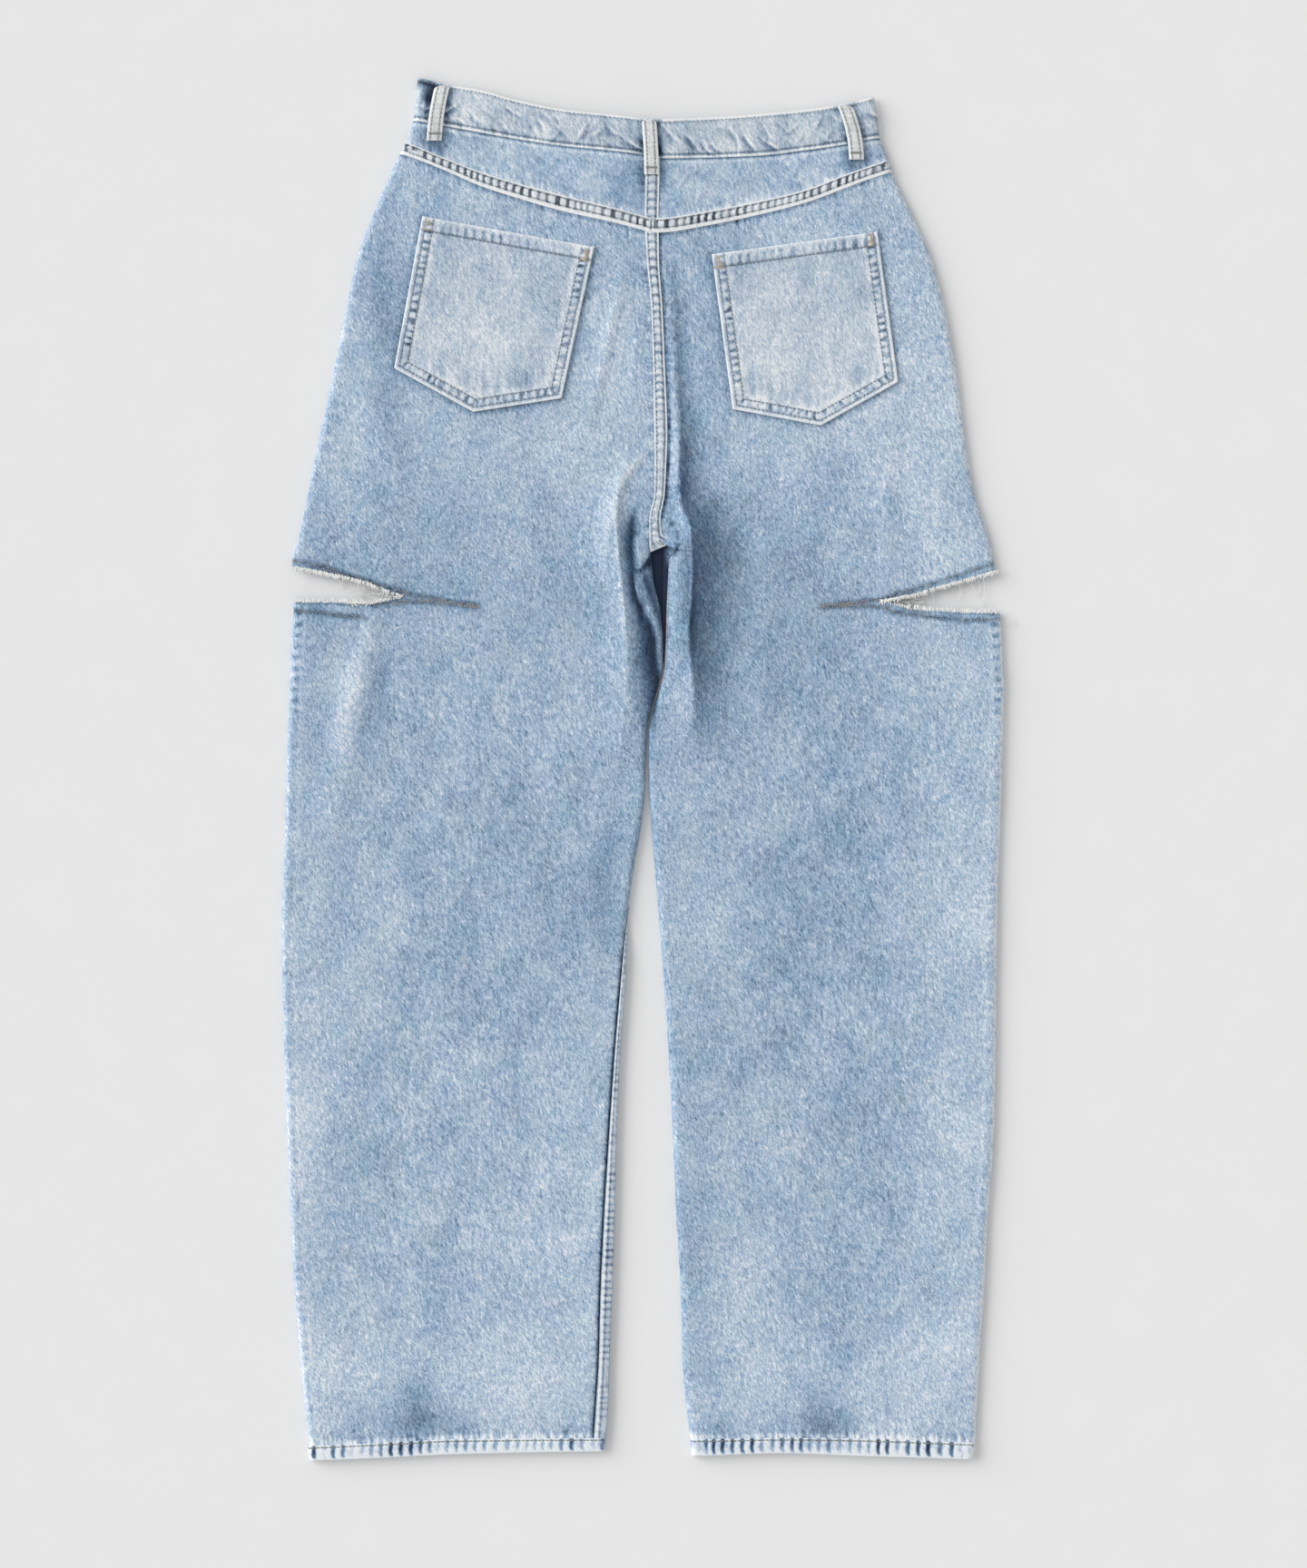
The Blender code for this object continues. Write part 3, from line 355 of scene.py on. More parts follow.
# The finished size of each piece that was cut, in metres, the share of that rectangle that its
# cloth fills, what it lies on, and the thread it carries
Cut = namedtuple("Cut", "width length share rests_on carries", defaults=((), ()))
CUTS = {
    "front_left": Cut(0.290, 1.015, 0.87),
    "front_right": Cut(0.280, 1.010, 0.84),
    "back_left": Cut(0.285, 0.995, 0.87, ["front_left"],
                     ["slit_stitches_left", "slit_tail_left", "slit_fray_left"]),
    "back_right": Cut(0.275, 0.985, 0.86, ["front_right"], [
        "slit_stitches_right", "slit_tail_right", "slit_fray_right", "loose_threads",
    ]),
    "yoke_left": Cut(0.190, 0.050, 0.78, ["front_left"]),
    "yoke_right": Cut(0.180, 0.050, 0.79, ["front_right"]),
    "yoke_seam_left": Cut(0.200, 0.0116, 0.95, ["back_left"], ["yoke_seam_stitches_left"]),
    "yoke_seam_right": Cut(0.187, 0.0116, 0.95, ["back_right"], ["yoke_seam_stitches_right"]),
    "centre_back_seam": Cut(0.0105, 0.247, 0.88, ["back_left", "back_right"],
                            ["centre_seam_stitches"]),
    "yoke_centre_seam": Cut(0.0112, 0.048, 0.98, ["yoke_left", "yoke_right"],
                            ["yoke_centre_stitches"]),
    "inseam_left": Cut(0.014, 0.415, 0.75, ["front_left"]),
    "hem_back_left": Cut(0.232, 0.0127, 0.90, ["hem_front_left"], ["hem_stitches_left"]),
    "hem_back_right": Cut(0.222, 0.0132, 0.93, ["hem_front_right"], ["hem_stitches_right"]),
    "hem_front_left": Cut(0.230, 0.0105, 0.88),
    "hem_front_right": Cut(0.220, 0.0110, 0.92),
    "waistband_back": Cut(0.360, 0.0320, 0.92, ["waistband_front_left", "waistband_front_right"],
                          ["waistband_stitches"]),
    "waistband_front_left": Cut(0.194, 0.0320, 0.92),
    "waistband_front_right": Cut(0.168, 0.0315, 0.92),
    "pocket_left": Cut(0.134, 0.142, 0.90, ["back_left"],
                       ["pocket_left_stitches", "pocket_left_tacks"]),
    "pocket_right": Cut(0.130, 0.142, 0.90, ["back_right"],
                        ["pocket_right_stitches", "pocket_right_tacks"]),
    "belt_loop_left": Cut(0.0116, 0.043, 1.0, ["waistband_back", "yoke_left"],
                          ["belt_loop_left_stitches", "belt_loop_left_tack"]),
    "belt_loop_centre": Cut(0.0112, 0.042, 1.0, ["waistband_back", "yoke_centre_seam"],
                            ["belt_loop_centre_stitches", "belt_loop_centre_tack"]),
    "belt_loop_right": Cut(0.0114, 0.043, 1.0, ["waistband_back", "yoke_right"],
                           ["belt_loop_right_stitches", "belt_loop_right_tack"]),
    "fly_underlap": Cut(0.040, 0.165, 1.0, ["front_left", "front_right"]),
}


# Curves and soft noise

def smooth(t):
    """0 to 1 with no corner at either end."""
    t = np.clip(t, 0, 1)
    return t * t * (3 - 2 * t)


def eased(table, key, column, at):
    """One column of a table at any place along its key column, curved without overshoot."""
    places = np.array([getattr(row, key) for row in table], float)
    values = np.array([getattr(row, column) for row in table], float)
    steps = np.diff(places)
    slopes = np.diff(values) / steps
    before, after = slopes[:-1], slopes[1:]
    turning = before * after <= 0
    total = np.where(turning, 1, before + after)
    middle = np.where(turning, 0, 2 * before * after / total)
    tangents = np.concatenate([slopes[:1], middle, slopes[-1:]])
    at = np.asarray(at, float)
    i = np.clip(np.searchsorted(places, at) - 1, 0, len(steps) - 1)
    t = np.clip((at - places[i]) / steps[i], 0, 1)
    start = (1 + 2 * t) * (1 - t) ** 2 * values[i] + t * (1 - t) ** 2 * steps[i] * tangents[i]
    end = t * t * (3 - 2 * t) * values[i + 1] + t * t * (t - 1) * steps[i] * tangents[i + 1]
    return start + end


def outline(column):
    """The place across of one edge of the garment, as a function of height.

    The right leg's inner edge draws back under the end of the seat seam, where the fork opens.
    """
    edge = lambda y: eased(LEVELS, "height", column, y)
    if column != "right_inner":
        return edge
    return lambda y: edge(y) + FORK_OPENING * near(y - FORK_END, 3.8)


def line(column, shift=0.0, table=None):
    """The height of one line that runs across the garment, as a function of x."""
    table = table or (HEM_LINES if column in Hem._fields else TOP_LINES)
    return lambda x: eased(table, "x", column, x) + shift


def cloud(x, y, across, along, seed):
    """Soft random patches of about this size, from -1 to 1."""
    size = 61
    lattice = np.random.default_rng(SEED * 1000 + seed).uniform(-1, 1, (size, size))
    u, v = np.asarray(x) / across + 500.0, np.asarray(y) / along + 500.0
    i, j = np.floor(u).astype(int), np.floor(v).astype(int)
    s, t = smooth(u - i), smooth(v - j)
    low = lattice[i % size, j % size] * (1 - s) + lattice[(i + 1) % size, j % size] * s
    high = lattice[i % size, (j + 1) % size] * (1 - s) + lattice[(i + 1) % size, (j + 1) % size] * s
    return low * (1 - t) + high * t


def bars(along, pitch, seed, sharp=2.2):
    """Uneven bars across a seam, from -1, a dark furrow, to 1, a worn ridge."""
    along = np.asarray(along, float)
    drift = cloud(along, 0 * along, pitch * 3.5, 1, seed) * pitch * 0.55
    wave = np.sin(2 * np.pi * (along + drift) / pitch)
    strength = 0.72 + 0.28 * cloud(along, 0 * along, pitch * 1.7, 1, seed + 1)
    return np.tanh(sharp * wave) / math.tanh(sharp) * strength


def near(distance, width):
    """1 on a line, and soft away from it."""
    return np.exp(-((np.asarray(distance) / width) ** 2))


def distance_to(x, y, points):
    """How far each x, y is from a line through these points."""
    return nearest_on(x, y, points)[0]


def nearest_on(x, y, points):
    """How far each x, y is from a line through these points, and how far along it that place is."""
    best, along, travelled = np.full(np.shape(x), 1e9), np.zeros(np.shape(x)), 0.0
    for (ax, ay), (bx, by) in zip(points, points[1:]):
        run = math.hypot(bx - ax, by - ay)
        t = np.clip(((x - ax) * (bx - ax) + (y - ay) * (by - ay)) / run ** 2, 0, 1)
        away = np.hypot(x - ax - t * (bx - ax), y - ay - t * (by - ay))
        along = np.where(away < best, travelled + t * run, along)
        best = np.minimum(best, away)
        travelled += run
    return best, along


# The form of the garment

def fold_rise(fold, x, y):
    """How much one fold raises the cloth, along its stations and away to each side."""
    stations = fold.stations
    steps = np.linspace(0, len(stations) - 1, 14 * len(stations))
    along = {
        column: np.interp(steps, range(len(stations)), values)
        for column, values in zip(Station._fields, zip(*stations))
    }
    reach = max(along["left"].max(), along["right"].max())
    inside = (x > along["x"].min() - reach) & (x < along["x"].max() + reach)
    inside &= (y > along["y"].min() - reach) & (y < along["y"].max() + reach)
    rise = np.zeros(np.shape(x))
    if not inside.any():
        return rise
    over, up = x[inside][:, None] - along["x"], y[inside][:, None] - along["y"]
    away = np.hypot(over, up)
    nearest = away.argmin(axis=1)
    each = np.arange(len(nearest))
    lean_x, lean_y = np.gradient(along["x"])[nearest], np.gradient(along["y"])[nearest]
    on_right = lean_x * up[each, nearest] - lean_y * over[each, nearest] > 0
    reach = np.where(on_right, along["right"][nearest], along["left"][nearest])
    spread = np.minimum(away[each, nearest] / reach, 1)
    falling = (1 - fold.crisp) * np.cos(spread * np.pi / 2) ** 2 + fold.crisp * (1 - spread) ** 2.2
    rise[inside] = along["rise"][nearest] * falling
    return rise


def leg_share(x, y):
    """How far x is across its leg at height y: 0 at the side and 1 at the inner edge."""
    shares = []
    for half in OUTWARD:
        side, inner = outline(half + "_side")(y), outline(half + "_inner")(y)
        shares.append((x - side) / (inner - side))
    return np.clip(np.where(x < 0, *shares), 0, 1)


def button_lift(x, y):
    """The waist button under the front lifts both layers a little around it."""
    band_middle = (line("waist")(CENTRE_FRONT) + line("band_seam")(CENTRE_FRONT)) / 2
    away = np.hypot(x - CENTRE_FRONT + BUTTON_OFF_CENTRE, y - band_middle + FRONT_RISE_DROP)
    return BUTTON_LIFT * np.exp(-0.5 * (away / BUTTON_LIFT_REACH) ** 2)


def back_height(x, y):
    """The height of the outside of the back layer."""
    x, y = np.broadcast_arrays(np.asarray(x, float), np.asarray(y, float))
    share = leg_share(x, y)
    window = smooth((y - SAG_FROM) / (SAG_FULL - SAG_FROM))
    window *= smooth((SAG_END - y) / (SAG_END - SAG_TO))
    sag = LEG_SAG * window * 4 * share * (1 - share)
    folds = sum(fold_rise(fold, x, y) for fold in FOLDS)
    ripples = 0.30 * cloud(x, y, 44, 70, 1) + 0.14 * cloud(x + 0.5 * y, y, 17, 30, 2)
    return BACK_LAYER - sag + folds + button_lift(x, y) + ripples


def placed(side, inner, low, high, up, share, inset):
    """x and y of a grid between two edges and two lines across, all of which may bend."""
    up = np.asarray(up, float)[:, None]
    share = np.asarray(share, float)[None, :]
    inset = np.asarray(inset, float)[None, :]
    y = (1 - up) * low(0.0 * share) + up * high(0.0 * share)
    for _ in range(PLACING_ROUNDS):
        from_side, from_inner = side(y), inner(y)
        x = from_side + share * (from_inner - from_side) + inset * np.sign(from_inner - from_side)
        y = (1 - up) * low(x) + up * high(x)
    return x, y


ROLL_INSETS = (0.0, 0.12, 0.45, 1.0, 1.8, 2.9, 4.5, 6.5, 9.0)


def columns(width, cell, rolled=(True, True), fine=None):
    """Share across and inset of each column, closer together where the cloth rolls under.

    fine is the cell and the width of a closer grid along the inner edge.
    """
    margin = ROLL_INSETS[-1] * 1.5 / width
    first, last = margin * rolled[0], 1 - margin * rolled[1]
    start, flat = first, []
    if fine:
        start = 1 - fine[1] / width
        flat = list(np.linspace(first, start, int((start - first) * width / cell), endpoint=False))
        cell = fine[0]
    flat += list(np.linspace(start, last, int((last - start) * width / cell)))
    turns = [len(ROLL_INSETS) * rolls for rolls in rolled]
    share = [0.0] * turns[0] + flat + [1.0] * turns[1]
    inset = list(ROLL_INSETS[:turns[0]]) + [0.0] * len(flat)
    inset += [-step for step in ROLL_INSETS[::-1][:turns[1]]]
    return np.array(share), np.array(inset)


def row_steps(low, high):
    """Share up of each row between two heights, closer where the cloth has more to show."""
    places = [low]
    while places[-1] < high - 0.6:
        cell = [cell for start, cell in ROW_CELLS if start <= places[-1]][-1]
        places.append(min(places[-1] + cell, high))
    return (np.array(places) - low) / (high - low)


def tucked(half):
    """The inner edge of a panel, which runs a little way under the felled seam above the fork."""
    edge = outline(half + "_inner")
    return lambda y: edge(y) - OUTWARD[half] * TUCK * smooth((y - CROTCH - 8) / 10)


def rolled_down(x, top, lip, edge, radius=EDGE_RADIUS):
    """The cloth's height where it turns down to a lip at one of its edges."""
    t = np.clip(np.abs(x - edge) / radius, 0, 1)
    return lip + (top - lip) * np.sqrt(np.clip(1 - (1 - t) ** 2, 0, 1))


# Making pieces

made = {}


def shown_at(x, y, z):
    """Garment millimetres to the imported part's metres."""
    return np.stack([x * MM + ORIGIN_X, y * MM + ORIGIN_Y, z * MM], axis=-1)


def object_of(name, data):
    """A new object in the scene."""
    piece = bpy.data.objects.new(name, data)
    bpy.context.scene.collection.objects.link(piece)
    return piece


def cloth(name, x, y, z, wash, thickness, replaced=(), pucker=0.0, faces_up=True, slit=None):
    """A piece of cloth from grids of its outside's x, y, z, and of how washed out it is with its
    painted light and shade.

    pucker is how strongly it gathers beside a seam: above 0 for a seam across, below for one
    that runs up. slit is the first row above a slit, and which of its columns are closed.
    """
    rows, count = x.shape
    index = np.arange(rows * count).reshape(rows, count)
    present = np.ones(rows - 1, bool)
    if slit:
        above, closed = slit
        index[above, closed] = index[above - 1, closed]
        present[above - 1] = False
    corners = [index[:-1, :-1], index[:-1, 1:], index[1:, 1:], index[1:, :-1]]
    quads = np.stack(corners, axis=-1)[present].reshape(-1, 4)
    points = shown_at(x, y, z).reshape(-1, 3)
    a, b, c = points[quads[:, 0]], points[quads[:, 1]], points[quads[:, 3]]
    if (np.cross(b - a, c - a)[:, 2].sum() > 0) != faces_up:
        quads = quads[:, ::-1]
    used, quads = np.unique(quads, return_inverse=True)
    mesh = bpy.data.meshes.new(name + "_cloth")
    mesh.from_pydata(points[used].tolist(), [], quads.reshape(-1, 4).tolist())
    for layer, values in (("wash", wash), ("pucker", pucker)):
        spread = (values + 0 * x).reshape(-1)[used].astype(np.float32)
        mesh.attributes.new(layer, "FLOAT", "POINT").data.foreach_set("value", spread)
    mesh.shade_smooth()
    made[name] = piece = object_of(name + "_cloth", mesh)
    solid = piece.modifiers.new("Cloth", "SOLIDIFY")
    solid.thickness = thickness * MM
    solid.offset = -1
    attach(piece, "root")
    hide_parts(*(replaced or [name]))


def strand(x, y, z):
    """One length of thread, as rows of x, y, z along it."""
    return np.stack([x, y, z], axis=-1)


def threads(name, strands, width, height, material):
    """Short lengths of thread as one mesh, each four-sided and drawn in at its ends."""
    points, faces = [], []
    for path in strands:
        run = np.gradient(path, axis=0)
        run /= np.maximum(np.linalg.norm(run, axis=1, keepdims=True), 1e-9)
        across = np.cross(run, (0.0, 0.0, 1.0))
        across /= np.maximum(np.linalg.norm(across, axis=1, keepdims=True), 1e-9)
        up = np.cross(across, run)
        start, last = len(points), len(path) - 1
        for i, middle in enumerate(path):
            taper = 0.45 if i in (0, last) else 1.0
            for turn in (0.0, 0.5 * np.pi, np.pi, 1.5 * np.pi):
                out = across[i] * math.cos(turn) * width / 2 + up[i] * math.sin(turn) * height / 2
                points.append(middle + out * taper)
        for i in range(last):
            for k in range(4):
                a, b = start + 4 * i + k, start + 4 * i + (k + 1) % 4
                faces.append((a, b, b + 4, a + 4))
        faces.append(tuple(start + k for k in (3, 2, 1, 0)))
        faces.append(tuple(start + 4 * last + k for k in (0, 1, 2, 3)))
    mesh = bpy.data.meshes.new(name)
    mesh.from_pydata(shown_at(*np.array(points).T).tolist(), [], faces)
    mesh.shade_smooth()
    mesh.materials.append(material)
    made[name] = object_of(name, mesh)
    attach(made[name], "root")


def along_line(points, step):
    """Even places along a line, and the direction of the line at each."""
    points = np.array(points, float)
    lengths = np.concatenate([[0], np.cumsum(np.hypot(*np.diff(points, axis=0).T))])
    at = np.arange(step / 2, lengths[-1], step)
    x, y = (np.interp(at, lengths, column) for column in points.T)
    ahead_x, ahead_y = (
        np.interp(at + 0.5, lengths, column) - np.interp(at - 0.5, lengths, column)
        for column in points.T
    )
    size = np.maximum(np.hypot(ahead_x, ahead_y), 1e-9)
    return x, y, ahead_x / size, ahead_y / size


STITCH_PITCH = 3.1
STITCH_LENGTH = 2.35
STITCH_SUNK = 0.02


def stitches(points, height):
    """Lockstitches along a line, each one dipping into the cloth at its ends."""
    strands = []
    steps = STITCH_LENGTH * np.array((-0.5, -0.3, 0.0, 0.3, 0.5))
    dips = np.array((0.30, 0.04, 0.0, 0.04, 0.30))
    for x, y, dx, dy in zip(*along_line(points, STITCH_PITCH)):
        xs, ys = x + dx * steps, y + dy * steps
        strands.append(strand(xs, ys, height(xs, ys) - STITCH_SUNK - dips))
    return strands


def whipped(points, height, width, pitch, generator):
    """A dense whipped row: threads laid across a line, side by side and a little uneven."""
    strands = []
    for x, y, dx, dy in zip(*along_line(points, pitch)):
        lean = generator.uniform(-0.25, 0.25)
        half = width / 2 * generator.uniform(0.8, 1.15)
        steps = np.array((-1.0, 0.0, 1.0)) * half
        xs = x + (-dy + lean * dx) * steps
        ys = y + (dx + lean * dy) * steps
        strands.append(strand(xs, ys, height(xs, ys) + np.array((-0.1, 0.2, -0.1))))
    return strands


# Wear

def wear_and_painted_light(x, y):
    """How washed out the cloth is, with painted light laid on it: bleached and unfaded patches,
    darker patches of painted shade beside some folds, soft clouds, faded crests, and painted
    highlight and painted shade along the creases.
    """
    amount = 0.10 + 0.13 * cloud(x, y, 55, 85, 11) + 0.08 * cloud(x, y, 21, 32, 12)
    amount = amount + 0.05 * cloud(x, y, 8, 11, 13)
    for spot in BLEACH_AND_PAINTED_SHADE:
        patch = near(x - spot.x, spot.across) * near(y - spot.y, spot.along)
        amount += spot.amount * patch
    for fold in FOLDS:
        rise = fold_rise(fold, x, y)
        amount += 0.05 * np.sign(rise) * np.minimum(np.abs(rise), 2.5)
    for crease in CREASE_WEAR_AND_PAINTED_LIGHT:
        amount += fold_rise(crease, x, y)
    return amount


def pocket_edges(shape, inset=0.0):
    """The outline of a pocket from one end of its mouth round to the other, moved inwards."""
    corners = [shape.mouth_left, shape.foot_left, shape.point, shape.foot_right, shape.mouth_right]
    corners = np.array(corners)
    middle = corners.mean(axis=0)
    moved = []
    for i, corner in enumerate(corners):
        inward = np.zeros(2)
        for run in (corner - corners[max(i - 1, 0)], corners[min(i + 1, 4)] - corner):
            if run.any():
                normal = np.array((-run[1], run[0])) / np.hypot(*run)
                inward += normal * np.sign((middle - corner) @ normal)
        sides = 1 if i in (0, 4) else inward @ inward / 2
        moved.append(corner + inward * inset / max(sides, 0.5))
    return moved


def loop_step(shape, y):
    """How far up a belt loop y is, from 0 at its foot to 1."""
    return np.clip((y - shape.foot_y) / (shape.top_y - shape.foot_y), 0, 1)


def loop_middle(shape, step):
    """The middle of a belt loop this far up it."""
    x = shape.foot_x + (shape.top_x - shape.foot_x) * step + shape.bow * np.sin(np.pi * step)
    return x, shape.foot_y + (shape.top_y - shape.foot_y) * step


# Heights of the outside of each kind of piece

def seam_height(x, y):
    return back_height(x, y) + SEAM_RISE


def pocket_height(x, y):
    return back_height(x, y) + SEAM_GAP + DENIM


def loop_height(shape, x, y):
    over_band = smooth((y - line("band_seam")(x)) / 4.0 + 1)
    proud = shape.under_foot + (SEAM_RISE - shape.under_foot) * over_band
    slack = LOOP_SLACK * np.sin(np.pi * loop_step(shape, y))
    return back_height(x, y) + proud + SEAM_GAP + LOOP_CLOTH + slack


# Panels

def cut_edges(half):
    """The two raw edges of a knee slit. They wander where the cut cloth has frayed."""

    def frayed(column, sign, seed):
        clean = line(column, table=SLITS[half])

        def edge(x):
            opened = smooth((x - SLIT_TIPS[half]) * OUTWARD[half] / 14)
            return clean(x) + sign * opened * (0.5 + 0.9 * np.abs(cloud(x, 0 * x, 4.0, 1, seed)))

        return edge

    return frayed("low", -1, 21), frayed("high", 1, 22)


def slit_panel(half, side, inner, hem, top, rows, across):
    """x and y of a panel from the hem to the top, and the slit in it as cloth() takes it."""
    low, high = cut_edges(half)
    leg = placed(side, inner, hem, low, rows[0], *across)
    seat = placed(side, inner, high, top, rows[1], *across)
    x, y = (np.vstack(parts) for parts in zip(leg, seat))
    above = len(rows[0])
    return x, y, (above, np.abs(high(x[above]) - low(x[above])) < SLIT_CLOSED)


def back_panel(half):
    on_left = half == "left"
    side, inner, ridge = outline(half + "_side"), tucked(half), outline("left_ridge")
    if on_left:
        above_fork = inner
        inner = lambda y: np.where(y < RIDGE_TO, ridge(y), above_fork(y))
    hem, top = line("line", -TUCK), line("panel_top", TUCK)
    rows = [row_steps(*ends) for ends in PANEL_ROWS]
    across = columns(PANEL_WIDTH, PANEL_CELL, fine=PANEL_FINE)
    x, y, slit = slit_panel(half, side, inner, hem, top, rows, across)
    from_side, from_inner = np.abs(x - side(y)), x - inner(y)
    from_hem, from_top = y - hem(x), y - top(x)

    height = back_height(x, y)
    lip = DENIM + SEAM_GAP + button_lift(x, y)
    legs_apart = smooth((CROTCH + 5 - y) / 10)
    inseam_shows = smooth((INSEAM_SHOWS_TO - y) / 40)
    inner_lip = height - DENIM - SEAM_GAP
    inner_lip = inner_lip + (lip - inner_lip) * legs_apart
    if on_left:
        inner_lip = inner_lip + (BACK_LAYER - 3.0 - inner_lip) * inseam_shows
    z = rolled_down(x, height, lip, side(y))
    z = np.minimum(z, rolled_down(x, height, inner_lip, inner(y), 1.8 + 2.7 * legs_apart))

    seam = np.where(y > CROTCH, near(from_inner, 7), 0)
    if on_left:
        seam = seam + np.where(y < INSEAM_SHOWS_TO, 0.8 * near(from_inner, 6), 0)
    pucker = near(from_hem - 3, 6) * 1.6 + 1.0 * near(from_top, 7) - 0.8 * seam

    wash = wear_and_painted_light(x, y) - 0.20 * near(from_inner, 2.4)
    # A painted shadow line just under the lower edge of the yoke seam
    wash -= 0.75 * near(from_top + TUCK - YOKE_SEAM_OVER[half][0] + 1.2, 1.3)
    # Painted shade lines: in the groove between the left leg and its inseam, and the shadow beside
    # the right edge of the seat seam
    if on_left:
        wash -= 1.6 * near(from_inner, 1.5) * inseam_shows
    else:
        wash -= 0.9 * near(from_inner - TUCK - 0.9, 1.3) * smooth((y - CROTCH - 20) / 10)
    # The side edge below the knee is rubbed pale on its fold, with dark ropes beside it
    ropes = np.clip(bars(y, 8.8, 101), -1, 0.2) * near(from_side - 5.0, 2.6)
    ropes = ropes * (0.3 + 0.7 * smooth((y - 520) / 90))
    rub = (0.12 if on_left else 0.45) * near(from_side - 1.4, 1.1)
    wash += (rub + 0.35 * near(from_side - 8.2, 1.0) + ropes) * smooth((KNEE - y) / 10)
    # Paler along both side edges, on the right much more: there it is a painted highlight, where the
    # rolled edge turns away from the lamp
    wash += 0.10 * near(from_side, 7) if on_left else 0.42 * near(from_side, 4)
    # Painted shade round each pocket, beside its raised edge
    for shape in POCKETS:
        wash -= 0.55 * near(distance_to(x, y, pocket_edges(shape)), 3.4)
    from_row = np.min([distance_to(x, y, row) for row in SLIT_ROWS[half]], axis=0)
    wash -= 1.05 * near(from_row, 2.2) * (0.9 + 0.4 * cloud(x, y, 3.0, 2.6, 104))
    low, high = cut_edges(half)
    opened = smooth(((x - SLIT_TIPS[half]) * OUTWARD[half] + 6) / 10)
    raw = 0.55 * near(y - low(x) + 1.2, 1.0) + 0.35 * near(y - high(x) - 1.2, 1.2)
    wash -= opened * raw
    wash += 0.70 * near(from_hem - 4.9, 1.9) * (0.9 + 0.6 * cloud(x, y, 6, 30, 103))
    cloth("back_" + half, x, y, z, wash, SHELL, ("back_leg_" + half, "back_seat_" + half),
          pucker=pucker, slit=slit)


def front_edge(half):
    """The inner edge of a front panel: the inseam, then the centre front seam above the fork."""
    edge = outline(half + "_inner")
    seam = CENTRE_FRONT + OUTWARD[half] * SEAM_GAP / 2
    return lambda y: np.where(y < FRONT_FORK, edge(y), seam)


def front_panel(half):
    hem, top = line("line", SEAM_GAP), line("band_seam", -FRONT_RISE_DROP - SEAM_GAP)
    rows = [np.linspace(0, 1, count) for count in FRONT_ROWS]
    across = columns(PANEL_WIDTH, FRONT_CELL, rolled=(False, False))
    side, inner = outline(half + "_side"), front_edge(half)
    x, y, slit = slit_panel(half, side, inner, hem, top, rows, across)
    # The front cloth seen down in the fork is painted in deep shade, with a small painted patch of
    # light at its upper right
    painted_fork_shade = np.exp(-((x - 4) / 26) ** 2 - ((y - KNEE) / 75) ** 2)
    lit = near(x - 15, 5) * near(y - CROTCH, 14)
    wash = wear_and_painted_light(x, y) - 2.6 * painted_fork_shade + 1.7 * lit
    nodes = ("front_leg_" + half, "front_seat_" + half)
    cloth("front_" + half, x, y, button_lift(x, y), wash, SHELL, nodes,
          pucker=near(y - hem(x), 11), faces_up=False, slit=slit)


def yoke(half):
    side, inner = outline(half + "_side"), tucked(half)
    foot, top = line("yoke_foot", -TUCK), line("band_seam", TUCK)
    across = columns(YOKE_WIDTH, YOKE_CELL)
    x, y = placed(side, inner, foot, top, np.linspace(0, 1, YOKE_ROWS), *across)
    height = back_height(x, y)
    z = rolled_down(x, height, DOUBLED + SEAM_GAP + button_lift(x, y), side(y))
    z = np.minimum(z, rolled_down(x, height, height - DENIM - SEAM_GAP, inner(y), 1.6))
    wash = (0.02 if half == "left" else 0.14) + wear_and_painted_light(x, y)
    wash += 0.14 * cloud(x + y, y - 0.6 * x, 9, 24, 31)
    wash += 0.1 * cloud(x - y, y, 7, 18, 32)
    wash -= 0.18 * near(x - side(y), 2.2)
    # Pressed creases: their ridges paler, partly wear and partly painted highlight, their troughs in
    # painted shade
    middle = lambda at: (foot(at) + top(at)) / 2
    wash += 0.32 * pressed(x, y, 36, 34, x.min() + 8, x.max() - 8, middle, 15)[1]
    seam_edge = foot(x) + TUCK + YOKE_SEAM_OVER[half][1]
    wash += 0.28 * near(y - seam_edge - 1.2, 1.1)
    # Below the waistband's roll, a paler band, and a painted shadow line just under the roll
    band_edge = top(x) - TUCK - BAND_ROLL
    wash += 0.4 * near(y - band_edge + 2.8, 1.3) - 0.95 * near(y - band_edge + 0.4, 1.1)
    # Painted shade round the foot of each belt loop
    for shape in LOOPS:
        away = np.hypot(x - shape.foot_x, (y - shape.foot_y) * 0.8)
        wash -= 0.95 * near(np.maximum(away - 7, 0), 5.5)
    pucker = 1.1 * near(y - foot(x), 7) + 0.8 * near(y - top(x), 6) - 0.8 * near(x - inner(y), 7)
    cloth("yoke_" + half, x, y, z, wash, SHELL, pucker=pucker)


# Felled seams, waistband and hems

def felled_height(x, y, t, swell, rope, furrow):
    """A felled seam swells between its edges, with ropes across it and a furrow at each row."""
    swollen = np.sin(np.pi * t)
    return seam_height(x, y) + swell * swollen + 0.16 * rope * swollen - 0.22 * furrow


